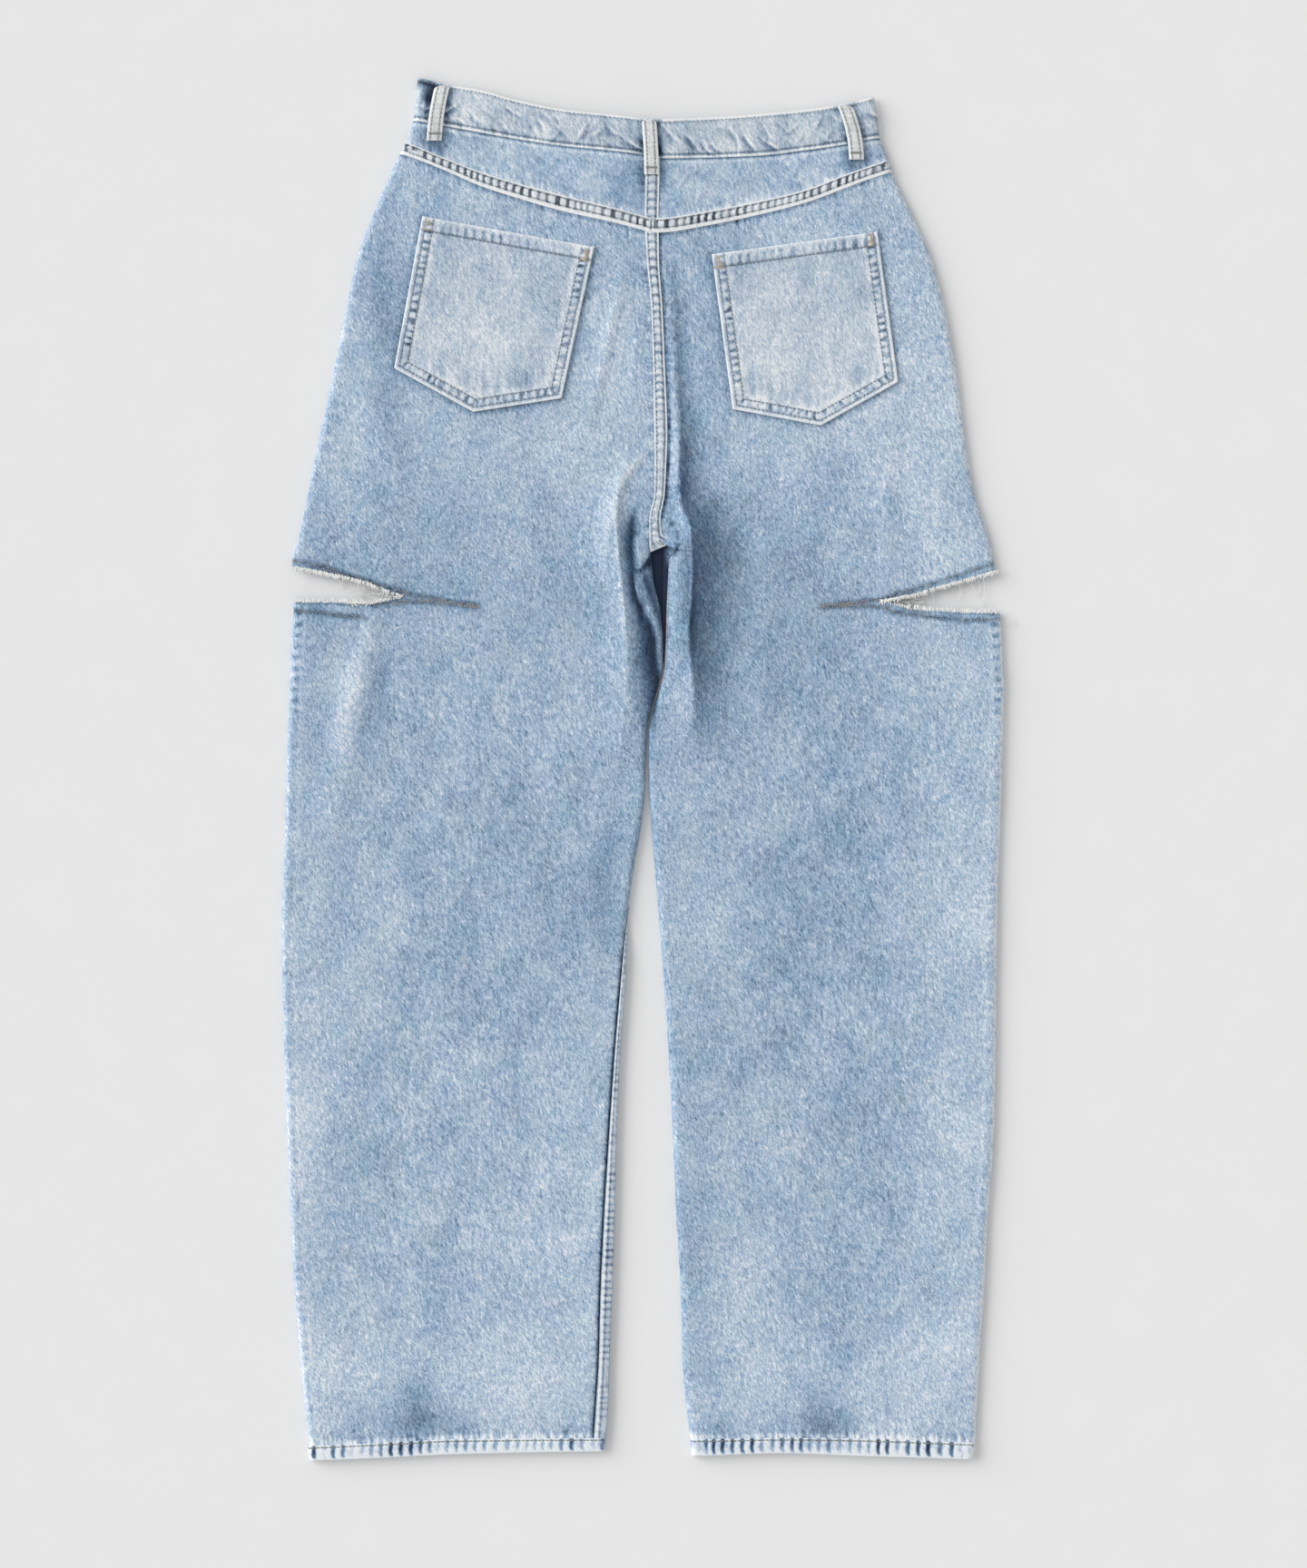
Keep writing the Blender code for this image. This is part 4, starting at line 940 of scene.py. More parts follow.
def yoke_seam(half):
    side, inner = outline(half + "_side"), lambda y: 0 * y - 1.2
    low_over, high_over = YOKE_SEAM_OVER[half]
    low, high = line("panel_top", low_over), line("yoke_foot", high_over)
    up = np.linspace(0, 1, SEAM_ROWS)
    across = columns(YOKE_WIDTH, STRIP_CELL, rolled=(True, False))
    x, y = placed(side, inner, low, high, up, *across)
    t = up[:, None] + 0 * x
    rope = bars(x + 1.3 * np.sin(np.pi * t), 6.0, 41 if half == "left" else 42)
    furrow = near(t - YOKE_SEAM_STITCHES[0], 0.06) + near(t - YOKE_SEAM_STITCHES[1], 0.07)
    height = felled_height(x, y, t, 0.22, rope, furrow)
    z = rolled_down(x, height, FELLED + SEAM_GAP + button_lift(x, y), side(y))
    between = smooth((t - 0.24) / 0.08) * smooth((0.92 - t) / 0.08)
    dark = np.clip((-rope - 0.12) / 0.42, 0, 1)
    dark = dark * np.clip(0.85 + 0.5 * cloud(x, y, 11, 30, 44), 0.4, 1.15)
    wash = 0.68 - 1.9 * between * dark
    wash += 0.32 * near(t - 0.06, 0.18) + 0.3 * near(t - 1, 0.12) - 1.0 * furrow
    wash += 0.5 * wear_and_painted_light(x, y) + 0.12 * cloud(x, y, 4, 5, 43)
    cloth("yoke_seam_" + half, x, y, z, wash, FELLED_SHELL)


def upright_seam(low, high, seed, bend, tone, dark, edge, slant=0.0):
    """A felled seam that runs up the garment between the halves, with bars across it."""
    rows = np.linspace(low, high, int((high - low) / STRIP_CELL))[:, None]
    across = np.linspace(0, 1, SEAM_COLUMNS)[None, :]
    start, end = outline("left_inner")(rows) + SEAM_GAP, outline("right_inner")(rows) - SEAM_GAP
    x = start + (end - start) * across
    y = rows + slant * across * np.clip(1 - (rows - low) / 26, 0, 1)
    t = across + 0 * x
    rope = bars(y - bend * np.sin(np.pi * t) * 0.9, 6.2, seed)
    furrow = near(t - CENTRE_STITCHES[0], 0.09) + near(t - CENTRE_STITCHES[1], 0.09)
    z = felled_height(x, y, t, 0.24, rope, furrow)
    between = smooth((t - 0.10) / 0.14) * smooth((0.92 - t) / 0.14)
    fading = 0.45 + 0.55 * smooth((y - 770) / 90)
    wash = tone - dark * fading * between * np.clip(-rope - 0.2, 0, 1)
    wash += 0.15 * between * np.clip(rope, 0, 1)
    wash += edge * (1 + 0.9 * smooth((y - 800) / 60)) * near(t - 1, 0.12)
    wash += 0.35 * near(t, 0.12) - 0.6 * furrow + 0.12 * cloud(x, y, 6, 8, seed + 2)
    wash -= 0.8 * near(t - 0.78, 0.07)
    return x, y, z, wash


def centre_back_seam():
    foot, top, slant = CROTCH + 1.0, float(line("panel_top")(0.0)) + 3.0, 8.0
    x, y, z, wash = upright_seam(foot, top, 51, 2.4, 0.68, 1.6, 0.55, slant)
    from_end = y - foot - slant * np.linspace(0, 1, y.shape[1])[None, :]
    wash = wash - 0.2 * smooth((735 - y) / 30) + 0.6 * near(from_end, 1.6)
    z = z - 2.2 * smooth(1 - from_end / 7) ** 2 - 0.9 * smooth((y - top + 3.5) / 1.5)
    cloth("centre_back_seam", x, y, z, wash, FELLED_SHELL)


def yoke_centre_seam():
    foot, top = float(line("yoke_foot")(0.0)) + 0.2, float(line("band_seam")(0.0)) - 0.8
    seam = upright_seam(foot, top, 54, 2.0, 0.62, 1.8, 0.4)
    cloth("yoke_centre_seam", *seam, FELLED_SHELL)


def inseam_left():
    """The inseam that turns into view along the inner edge of the left leg, then turns under."""
    edge, ridge = outline("left_inner"), outline("left_ridge")
    rows = np.linspace(float(line("line")(-40.0)) + 0.6, INSEAM_ENDS, INSEAM_ROWS)[:, None]
    start, end = ridge(rows), edge(rows)
    start = start + np.minimum(SEAM_GAP, 0.3 * (end - start))
    shown, turned = 17, 5
    t = np.concatenate([np.linspace(0, 1, shown), np.ones(turned)])[None, :]
    x = start + (end - start) * t
    y = rows + 0 * x
    down = np.concatenate([np.zeros(shown), np.linspace(0.15, 1, turned)])[None, :]
    rope = bars(y, 5.6, 57)
    swollen = (0.16 * rope + 0.2) * np.sin(np.pi * t) * (down == 0)
    top = BACK_LAYER - SEAM_RISE - SEAM_RISE * t + swollen
    top = top - 3.2 * smooth((y - INSEAM_SHOWS_TO + 20) / 45)
    z = top - (top - DENIM - SEAM_GAP) * down
    uneven = 0.6 + 0.5 * cloud(x, y, 9, 22, 59)
    wash = 0.40 - 1.5 * np.clip(-rope - 0.15, 0, 1) * uneven * smooth(t / 0.3)
    # Its last term is a painted shade line in the groove where the seam meets the panel
    wash += 0.85 * near(t - 0.2, 0.11) - 0.8 * near(t - 0.46, 0.09) - 1.2 * near(t + 0.05, 0.09)
    wash += 0.12 * cloud(x, y, 6, 9, 58) - 0.25 * smooth((t - 0.75) / 0.25) - 0.5 * down
    cloth("inseam_left", x, y, z, wash, SHELL)


def hem(half, at_back=True):
    side, inner = outline(half + "_side"), outline(half + "_inner")
    foot, top = line("foot"), line("line", HEM_OVER if at_back else -SEAM_GAP)
    up = np.linspace(0, 1, HEM_ROWS if at_back else FRONT_HEM_ROWS)
    cell = STRIP_CELL if at_back else FRONT_HEM_CELL
    across = columns(HEM_WIDTH, cell, rolled=(at_back, at_back))
    x, y = placed(side, inner, foot, top, up, *across)
    t = up[:, None] + 0 * x
    slanted = x + 2.2 * (t - 0.5) + 0.8 * np.sin(5 * t)
    rope = bars(slanted, 7.4, 61 if half == "left" else 63, sharp=1.3)
    uneven = np.clip(0.75 + 0.7 * cloud(x, 0 * x, 11, 1, 66), 0.2, 1.3)
    wash = 1.05 - 2.4 * np.clip(-rope + 0.1, 0, 1) * uneven * smooth((t + 0.04) / 0.25)
    wash += 0.45 * near(t - 0.1, 0.16) - 0.3 * near(t - 0.62, 0.2)
    wash += 0.3 * near(t - 1, 0.07) - 0.85 * near(t - 0.87, 0.05)
    wash += 0.9 * np.minimum(wear_and_painted_light(x, y), 0.25) + 0.18 * cloud(x, y, 5, 4, 65)
    if not at_back:
        z = button_lift(x, y)
        return cloth("hem_front_" + half, x, y, z, wash, DOUBLED, faces_up=False)
    puff = 0.25 * np.sin(np.pi * np.clip(t / 0.86, 0, 1)) + 0.16 * rope * np.sin(np.pi * t)
    height = back_height(x, y) + SEAM_RISE + puff - 0.25 * near(t - 0.86, 0.07)
    z = [rolled_down(x, height, DOUBLED + SEAM_GAP, edge(y)) for edge in (side, inner)]
    cloth("hem_back_" + half, x, y, np.minimum(*z), wash, DOUBLED)


def pressed(x, y, seed, count, left, right, middle, spread):
    """Short creases pressed into the cloth at chance places: each is a curved ridge with a trough on
    its lower side. Gives how far they rise, and how much paler or darker they are painted: the ridge
    paler, partly rubbed wear and partly painted highlight, and the trough bluer, in painted shade.
    """
    generator = np.random.default_rng(SEED * 1000 + seed)
    rise, tone = np.zeros(np.shape(x)), np.zeros(np.shape(x))
    for i in range(count):
        at_x = left + (right - left) * (i + generator.uniform(0, 1)) / count
        at_y = middle(at_x) + generator.uniform(-spread, spread)
        leans = -1 if generator.uniform(-0.5, 1) + 0.9 * cloud(at_x, 0.0, 60, 1, seed) > 0 else 1
        turn = leans * generator.uniform(0.45, 1.15)
        length, width = generator.uniform(8, 24), generator.uniform(0.7, 1.1)
        amount, bend = generator.uniform(0.35, 1.0), generator.uniform(-3.0, 3.0)
        along = (x - at_x) * math.cos(turn) + (y - at_y) * math.sin(turn)
        share = 2 * along / length
        away = (y - at_y) * math.cos(turn) - (x - at_x) * math.sin(turn) - bend * share ** 2
        fading = amount * np.clip(1 - share ** 2, 0, 1)
        ridge, trough = near(away, width), near(away + 2.6 * width, 2.2 * width)
        rise += fading * (ridge - 0.5 * trough)
        tone += fading * (1.15 * ridge - 0.95 * trough)
    return rise, np.clip(tone, -1.0, 0.9)


# The waistband's creases: their seed, how many, and between which places across
BAND_CREASES = (71, 70, -176, 178)


def band_height(x, y):
    """The waistband swells between its seams, and rolls over at its lower edge."""
    seam, waist = line("band_seam", -BAND_ROLL)(x), line("waist")(x)
    t = np.clip((y - seam) / (waist - seam), 0, 1)
    middle = lambda at: (line("band_seam")(at) + line("waist")(at)) / 2 - 1.5
    rise = 0.45 * pressed(x, y, *BAND_CREASES, middle, 9)[0] + 0.25 * cloud(x, y, 12, 40, 72)
    furrows = 0.30 * near(t - 0.09, 0.03) + 0.26 * near(t - 0.93, 0.03)
    swollen = back_height(x, y) + SEAM_RISE + 0.35 * np.sin(np.pi * t)
    return swollen + rise - furrows + 0.3 * near(t, 0.05)


def waistband():
    sides = [outline(half + "_side") for half in OUTWARD]
    seam, waist = line("band_seam", -BAND_ROLL), line("waist")
    up = np.linspace(0, 1, BAND_ROWS)
    x, y = placed(*sides, seam, waist, up, *columns(BAND_WIDTH, BAND_CELL))
    t = up[:, None] + 0 * x
    height = band_height(x, y)
    lip = DOUBLED + SEAM_GAP + button_lift(x, y)
    z = np.minimum(*(rolled_down(x, height, lip, side(y)) for side in sides))
    middle = lambda at: (seam(at) + waist(at)) / 2 - 1.5
    wash = 0.33 + 0.10 * near(x + 140, 40) - 0.14 * near(x + 50, 45) + 0.6 * wear_and_painted_light(x, y)
    # Pressed creases: their ridges paler, partly wear and partly painted highlight, their troughs in
    # painted shade
    wash += 0.8 * pressed(x, y, *BAND_CREASES, middle, 9)[1]
    wash += 0.22 * cloud(x, y, 9, 14, 75)
    wash -= 0.35 * np.clip(cloud(x + 0.2 * y, y, 7, 60, 76), 0, 1)
    # Its rolled edges are rubbed white, and the furrows of its two rows keep their dye
    wash += 0.85 * near(t - 0.01, 0.045) - 1.0 * near(t - 0.095, 0.03)
    wash += 1.2 * near(t - 1, 0.06) - 0.55 * near(t - 0.91, 0.03)
    for shape in LOOPS:
        beside = np.abs(x - loop_middle(shape, loop_step(shape, y))[0]) - shape.width / 2
        shade = near(np.maximum(beside - 1.2, 0), 3.0)
        wash -= 1.5 * shade * (0.8 + 0.5 * cloud(x, y, 6, 8, 73))
    wash -= 1.6 * near(distance_to(x, y, ((-180, 1064), (-171, 1060), (-173, 1050))), 5.5)
    pucker = 0.75 * near((t - 0.04) * 30, 5) + 0.3 * near((t - 1) * 30, 4)
    cloth("waistband_back", x, y, z, wash, DOUBLED, pucker=pucker)

    foot, top = line("band_seam", -FRONT_RISE_DROP), line("waist", -FRONT_RISE_DROP)
    up = np.linspace(0, 1, FRONT_BAND_ROWS)
    across = columns(FRONT_BAND_WIDTH, FRONT_BAND_CELL, rolled=(False, False))
    for half, side in zip(OUTWARD, sides):
        x, y = placed(side, front_edge(half), foot, top, up, *across)
        t = up[:, None] + 0 * x
        z = button_lift(x, y)
        wash = 0.25 + wear_and_painted_light(x, y) + 0.4 * near(t, 0.05) - 0.4 * near(t - 0.12, 0.05)
        cloth("waistband_front_" + half, x, y, z, wash, DOUBLED, faces_up=False)


def pocket(shape):
    mouth = np.linspace(shape.mouth_left, shape.mouth_right, 2 * POCKET_HALF - 1)
    foot = np.concatenate([
        np.linspace(shape.foot_left, shape.point, POCKET_HALF),
        np.linspace(shape.point, shape.foot_right, POCKET_HALF)[1:],
    ])
    grid = foot + (mouth - foot) * np.linspace(0, 1, POCKET_ROWS)[:, None, None]
    x, y = grid[..., 0], grid[..., 1]
    away, along = nearest_on(x, y, pocket_edges(shape))
    from_mouth = distance_to(x, y, (shape.mouth_left, shape.mouth_right))
    rope = bars(along + 1.5 * cloud(x, y, 5, 5, 91), 6.2, 81 if "left" in shape.name else 83)
    between = smooth((away - 3.0) / 1.6) * smooth((10.5 - away) / 2.4)

    corners = (shape.mouth_left, shape.mouth_right, shape.foot_left, shape.foot_right)
    middle = np.mean(corners, axis=0)
    foxed = near(x - middle[0] + 12, 42) * near(y - middle[1] + 26, 46)
    wash = 0.14 + 0.36 * foxed + 0.35 * wear_and_painted_light(x, y)
    wash += 0.12 * cloud(x, y, 13, 17, 85) + 0.08 * cloud(x, y, 5, 6, 86)
    # Down the sides: a rubbed edge, two furrows, a pale band beyond them, and bars between
    wash += 0.28 * smooth((13 - away) / 3) + 0.75 * near(away, 1.6) - 0.75 * near(away - 3.4, 0.9)
    wash += 0.42 * near(away - 12.4, 2.4) * (0.7 + 0.6 * cloud(x, y, 6, 9, 92))
    wash -= 0.42 * near(away - 9.2, 0.9)
    blobs = np.clip(0.75 + 0.9 * cloud(along, away, 7, 4, 94), 0.1, 1.5)
    wash -= 1.5 * between * np.clip(-rope, 0, 1) * blobs - 0.20 * between * np.clip(rope, 0, 1)
    # Along the mouth: a rubbed edge, one furrow, and bars between
    at_mouth = smooth((12 - from_mouth) / 3)
    wash += 0.50 * near(from_mouth, 1.5) - 0.60 * near(from_mouth - 10.3, 1.0) + 0.25 * at_mouth
    dark = at_mouth * np.clip(-bars(x, 6.8, 87), 0, 1) * smooth((from_mouth - 2) / 2)
    wash -= 1.4 * dark * (0.6 + 0.5 * cloud(x, y, 12, 9, 93))
    from_foot = distance_to(x, y, (shape.foot_left, shape.point, shape.foot_right))
    streaks = cloud(x + 0.25 * (x - shape.point[0]), y, 3.4, 26, 89)
    wash += 0.50 * streaks * smooth((40 - from_foot) / 30) * smooth((from_foot - 10) / 4)

    z = pocket_height(x, y) + 0.30 * smooth((11 - away) / 3) + 0.25 * smooth((11 - from_mouth) / 3)
    z += 0.12 * rope * between + 0.10 * streaks - 0.22 * near(away - 3.5, 0.9)
    z -= 0.2 * near(away - 9.2, 0.9) + 0.25 * near(from_mouth - 10.2, 1.0)
    z += 0.35 * smooth((away - 14) / 30) * cloud(x, y, 30, 45, 90)
    cloth(shape.name, x, y, z, wash, SHELL)


def belt_loop(shape):
    step = np.linspace(0, 1, LOOP_ROWS)[:, None]
    across = np.linspace(-0.5, 0.5, LOOP_COLUMNS)[None, :]
    middle, y = loop_middle(shape, step)
    x = middle + across * shape.width
    y = y - 1.8 * smooth((step - 0.93) / 0.07) * (2 * np.abs(across)) ** 3
    rounded = 0.55 * (1 - (2 * np.abs(across)) ** 4)
    furrows = near(across - LOOP_STITCHES, 0.06) + near(across + LOOP_STITCHES, 0.06)
    z = loop_height(shape, x, y) - 0.45 + rounded - 0.16 * furrows
    wash = 0.52 + 0.7 * near(np.abs(across) - 0.5, 0.10) - 0.9 * furrows
    wash = wash + 0.2 * cloud(x, y, 4, 9, 95) - 0.25 * np.clip(-bars(y, 4.4, 97), 0, 1)
    cloth(shape.name, x, y, z, wash, LOOP_CLOTH - 0.3)


def fly():
    waist = float(line("waist")(CENTRE_FRONT)) - FRONT_RISE_DROP - FLY_BELOW_WAIST
    seam = float(line("band_seam")(CENTRE_FRONT)) - FRONT_RISE_DROP
    x, y = np.meshgrid(
        np.linspace(CENTRE_FRONT - FLY_WIDTH, CENTRE_FRONT + FLY_OVERLAP, FLY_COLUMNS),
        np.linspace(waist - FLY_LENGTH, waist, FLY_ROWS),
    )
    over_band = (DOUBLED - SHELL) * smooth((y - seam + 8) / 7)
    z = SHELL + 0.7 + over_band + SHELL + button_lift(x, y)
    cloth("fly_underlap", x, y, z, 0.5 * wear_and_painted_light(x, y) - 0.35, SHELL)


# Thread

def stitched(name, rows, height, material, width=1.0):
    """Rows of lockstitch on one surface, as one mesh."""
    threads(name, [one for row in rows for one in stitches(row, height)], width, 0.5, material)


def row_across(ends, low, high, share):
    """A line across the garment, this share of the way between two lines across."""
    x = np.linspace(*ends, 60)
    return list(zip(x, low(x) + share * (high(x) - low(x))))


def row_up(low, high, share):
    """A line up the garment, this share of the way between the inner edges of its halves."""
    y = np.linspace(low, high, 60)
    left, right = outline("left_inner")(y), outline("right_inner")(y)
    return list(zip(left + share * (right - left), y))


def sew(material, olive):
    """All the rows of lockstitch."""
    ends = {"left": ((-192, -3), (-187, -3)), "right": ((1, 182), (1, 178))}
    for half, (low_over, high_over) in YOKE_SEAM_OVER.items():
        edges = line("panel_top", low_over), line("yoke_foot", high_over)
        rows = [row_across(e, *edges, share) for e, share in zip(ends[half], YOKE_SEAM_STITCHES)]
        stitched("yoke_seam_stitches_" + half, rows, seam_height, material)
    for name, low, high in (("centre_seam", CROTCH + 6, 946), ("yoke_centre", 960, 1003)):
        rows = [row_up(low, high, share) for share in CENTRE_STITCHES]
        stitched(name + "_stitches", rows, seam_height, material)
    edges = line("band_seam", -BAND_ROLL), line("waist")
    rows = [row_across((-181, 169), *edges, share) for share in BAND_STITCHES]
    stitched("waistband_stitches", rows, band_height, material)
    edges = line("foot"), line("line", HEM_OVER)
    for half, ends in (("left", (-266, -39)), ("right", (30, 247))):
        rows = [row_across(ends, *edges, HEM_STITCHES)]
        stitched("hem_stitches_" + half, rows, seam_height, olive)
    for shape in POCKETS:
        mouth = np.array((shape.mouth_left, shape.mouth_right)) - (0, MOUTH_STITCHES)
        rows = [*(pocket_edges(shape, inset) for inset in POCKET_STITCHES), mouth]
        on_pocket = lambda x, y: pocket_height(x, y) + 0.22
        stitched(shape.name + "_stitches", rows, on_pocket, material)
    for shape in LOOPS:
        x, y = loop_middle(shape, np.linspace(0.03, 0.97, 30))
        rows = [list(zip(x + side * shape.width, y)) for side in (-LOOP_STITCHES, LOOP_STITCHES)]
        on_loop = lambda x, y: loop_height(shape, x, y)
        stitched(shape.name + "_stitches", rows, on_loop, material, width=0.7)


def bartacks(grey, tan):
    """Dense tacks at the pocket corners and across the feet of the belt loops."""
    generator = np.random.default_rng(SEED + 1)
    on_pocket = lambda x, y: pocket_height(x, y) + 0.42
    for shape in POCKETS:
        strands = []
        for corner, foot, inward in (
            (shape.mouth_left, shape.foot_left, 1), (shape.mouth_right, shape.foot_right, -1),
        ):
            down = np.array(foot) - np.array(corner)
            start = np.array(corner) + np.array((inward * 5.4, -1.4))
            end = start + down / np.hypot(*down) * 9.5
            strands += whipped([start, end], on_pocket, 7.4, 0.9, generator)
        threads(shape.name + "_tacks", strands, 0.85, 0.3, tan)
    for shape in LOOPS:
        x, y = loop_middle(shape, 0.13)
        half = shape.width * 0.40
        on_loop = lambda x, y: loop_height(shape, x, y) + 0.15
        strands = whipped([(x - half, y), (x + half, y)], on_loop, 2.2, 0.8, generator)
        threads(shape.name + "_tack", strands, 0.75, 0.5, grey)


def fork_thread(material):
    """The overlocked edge of the right leg's inseam, which shows inside the fork."""
    generator = np.random.default_rng(SEED + 6)
    edge = outline("right_inner")
    ys = np.linspace(668, 600, 34)
    points = list(zip(edge(ys) + 0.9, ys))
    strands = whipped(points, lambda x, y: back_height(x, y) - 0.9, 1.6, 1.5, generator)
    threads("fork_overlock", strands, 0.7, 0.4, material)


def slit_thread(pale, brown):
    """The overlocked rows that keep the knee slits from running, drawn together past each tip."""
    generator = np.random.default_rng(SEED + 2)
    short = np.array((-0.5, 0.0, 0.5))
    for half, rows in SLIT_ROWS.items():
        outward = OUTWARD[half]
        strands = []
        for row in rows:
            for aside in (-0.9, 0.9):
                for x, y, dx, dy in zip(*along_line(row, 1.5)):
                    past_tip = (x - SLIT_TIPS[half]) * outward < -6
                    if past_tip or generator.uniform() < 0.25:
                        continue
                    lean = generator.normal(0, 0.45)
                    steps = short * generator.uniform(1.0, 2.0)
                    away = aside * generator.uniform(0.5, 1.3)
                    xs = x - dy * away + (dx - lean * dy) * steps
                    ys = y + dx * away + (dy + lean * dx) * steps
                    zs = back_height(xs, ys) + np.array((-0.1, 0.15, -0.1))
                    strands.append(strand(xs, ys, zs))
        threads("slit_stitches_" + half, strands, 0.6, 0.35, pale)
        tip, end = SLIT_TIPS[half] + 8 * outward, SLIT_TAIL_ENDS[half]
        upper, lower = (np.array(sorted(row)).T for row in (rows[0], rows[-1]))
        strands = []
        for share in np.linspace(0, 1, 5):
            for x in np.arange(min(end, tip), max(end, tip), 1.7):
                xs = x + short * generator.uniform(1.3, 2.0)
                above, below = np.interp(xs, *upper) + 0.5, np.interp(xs, *lower) - 0.5
                ys = below + (above - below) * share + generator.normal(0, 0.12)
                if generator.uniform() > 0.9 - 0.45 * abs(x - end) / abs(tip - end):
                    continue
                zs = back_height(xs, ys) + np.array((-0.05, 0.15, -0.05))
                strands.append(strand(xs, ys, zs))
        threads("slit_tail_" + half, strands, 0.75, 0.35, brown)


# Where the raw edges have frayed into tufts: the place across, which edge, and how many ends
TUFTS = {
    "left": (
        (-236, "low", 14), (-231, "low", 16), (-226, "low", 18), (-221, "low", 14),
        (-213, "low", 6), (-196, "low", 8), (-205, "high", 6), (-270, "high", 6),
    ),
    "right": (
        (177, "high", 16), (181, "high", 14), (187, "high", 12), (196, "low", 10),
        (203, "low", 8), (224, "low", 7), (258, "low", 9), (262, "high", 6),
    ),
}


def fray(material):
    """Warp ends along the raw edges, and loose weft threads across the slits."""
    generator = np.random.default_rng(SEED + 3)
    for half in SLITS:
        tip, side = SLIT_TIPS[half], float(outline(half + "_side")(KNEE))
        low, high = (line(column, table=SLITS[half]) for column in ("low", "high"))
        strands = []
        s = np.linspace(0, 1, 5)
        for edge, sign, count in ((low, 1, 150), (high, -1, 260)):
            for _ in range(count):
                share = generator.uniform(0.02, 0.985)
                x = tip + (side - tip) * share
                length = generator.uniform(0.4, 2.4) * smooth(share * 4)
                lean = generator.normal(0, 0.5)
                root = float(edge(x)) - sign * generator.uniform(0.6, 2.0)
                xs = x + lean * length * s + 0.5 * generator.normal() * np.sin(np.pi * s)
                ys = root + sign * (length + 1.5) * s
                zs = float(back_height(x, root)) + 0.15 + 0.3 * np.sin(np.pi * s) - 0.9 * s
                strands.append(strand(xs, ys, zs))
        s = np.linspace(0, 1, 12)
        for _ in range(9):
            top_x = tip + (side - tip) * generator.uniform(0.12, 0.95)
            drop = generator.uniform(0.5, 1.0) * float(high(top_x) - low(top_x))
            drift = generator.normal(0, 2.0) * s
            wave = generator.uniform(0.4, 1.4) * np.sin(7 * s + generator.uniform(0, 6))
            ys = float(high(top_x)) + 1.0 - drop * s
            zs = BACK_LAYER - 0.6 - 4.0 * np.sin(np.pi * s / 2)
            strands.append(strand(top_x + drift + wave, ys, zs))
        for _ in range(6):
            reach, level = generator.uniform(0.15, 0.5), generator.uniform(0.2, 0.8)
            xs = tip + (side - tip) * (0.03 + reach * s)
            wave = level + 0.15 * np.sin(6 * s + generator.uniform(0, 6))
            ys = low(xs) + (high(xs) - low(xs)) * np.clip(wave, 0.05, 0.95)
            strands.append(strand(xs, ys, BACK_LAYER - 1.0 - 3.0 * np.sin(np.pi * s)))
        s = np.linspace(0, 1, 8)
        for x, side_of, count in TUFTS[half]:
            edge, sign = (low, 1) if side_of == "low" else (high, -1)
            for _ in range(count):
                at = x + generator.normal(0, 1.6)
                turn = generator.normal(0, 0.7)
                heading = sign * (np.pi / 2 + turn + generator.normal(0, 1.3) * s)
                length = generator.uniform(2.0, 5.0)
                xs = at + np.cumsum(np.cos(heading)) * length / 8
                ys = float(edge(at)) - sign * 1.2 + np.cumsum(np.sin(heading)) * length / 8
                zs = float(back_height(at, edge(at))) + 0.3 + 0.5 * np.sin(np.pi * s)
                strands.append(strand(xs, ys, zs))
        threads("slit_fray_" + half, strands, 0.62, 0.4, material)


def lint(material):
    """Small loose ends of thread left on the cloth after washing, and one beside the right knee."""
    generator = np.random.default_rng(SEED + 4)
    places = (
        (-60, 1003, 9, 0.4), (-30, 1000, 6, 2.2), (30, 990, 10, 0.9), (44, 967, 6, 2.6),
        (-110, 992, 7, 1.2), (-92, 935, 6, 0.2), (120, 985, 7, 2.0), (62, 960, 5, 1.1),
        (-200, 640, 7, 0.5), (232, 690, 8, 2.4), (-150, 420, 5, 1.9), (90, 330, 6, 0.7),
        (-18, 940, 7, 1.3), (22, 1012, 6, 2.9),
    )
    strands = []
    s = np.linspace(0, 1, 9)
    for x, y, length, angle in places:
        heading = angle + generator.uniform(-1.6, 1.6) * s
        xs = x + np.cumsum(np.cos(heading)) * length / 9
        ys = y + np.cumsum(np.sin(heading)) * length / 9
        strands.append(strand(xs, ys, pocket_height(xs, ys) + 0.1))
    s = np.linspace(0, 1, 26)
    xs, ys = 267 + 11 * s + 3.2 * np.cos(9 * s), 652 - 9 * s + 3.4 * np.sin(9 * s)
    strands.append(strand(xs, ys, 4.2 - 3.6 * s))
    threads("loose_threads", strands, 0.42, 0.4, material)


# Materials

def linear(colour):
    """An sRGB hex colour as the linear red, green, blue and alpha that shaders take."""
    values = [int(colour[i:i + 2], 16) / 255 for i in (1, 3, 5)]
    return [v / 12.92 if v <= 0.04045 else ((v + 0.055) / 1.055) ** 2.4 for v in values] + [1.0]


def give(tree, node, inputs):
    """Gives a node's inputs their values, or links from sockets or from other nodes."""
    for socket, value in inputs.items():
        if isinstance(value, bpy.types.Node):
            value = value.outputs[0]
        if isinstance(value, bpy.types.NodeSocket):
            tree.links.new(value, node.inputs[socket])
        else:
            node.inputs[socket].default_value = value


def add(tree, kind, inputs, **settings):
    """Adds one node with its settings, and gives its inputs values or links."""
    node = tree.nodes.new(kind)
    for name, value in settings.items():
        setattr(node, name, value)
    give(tree, node, inputs)
    return node


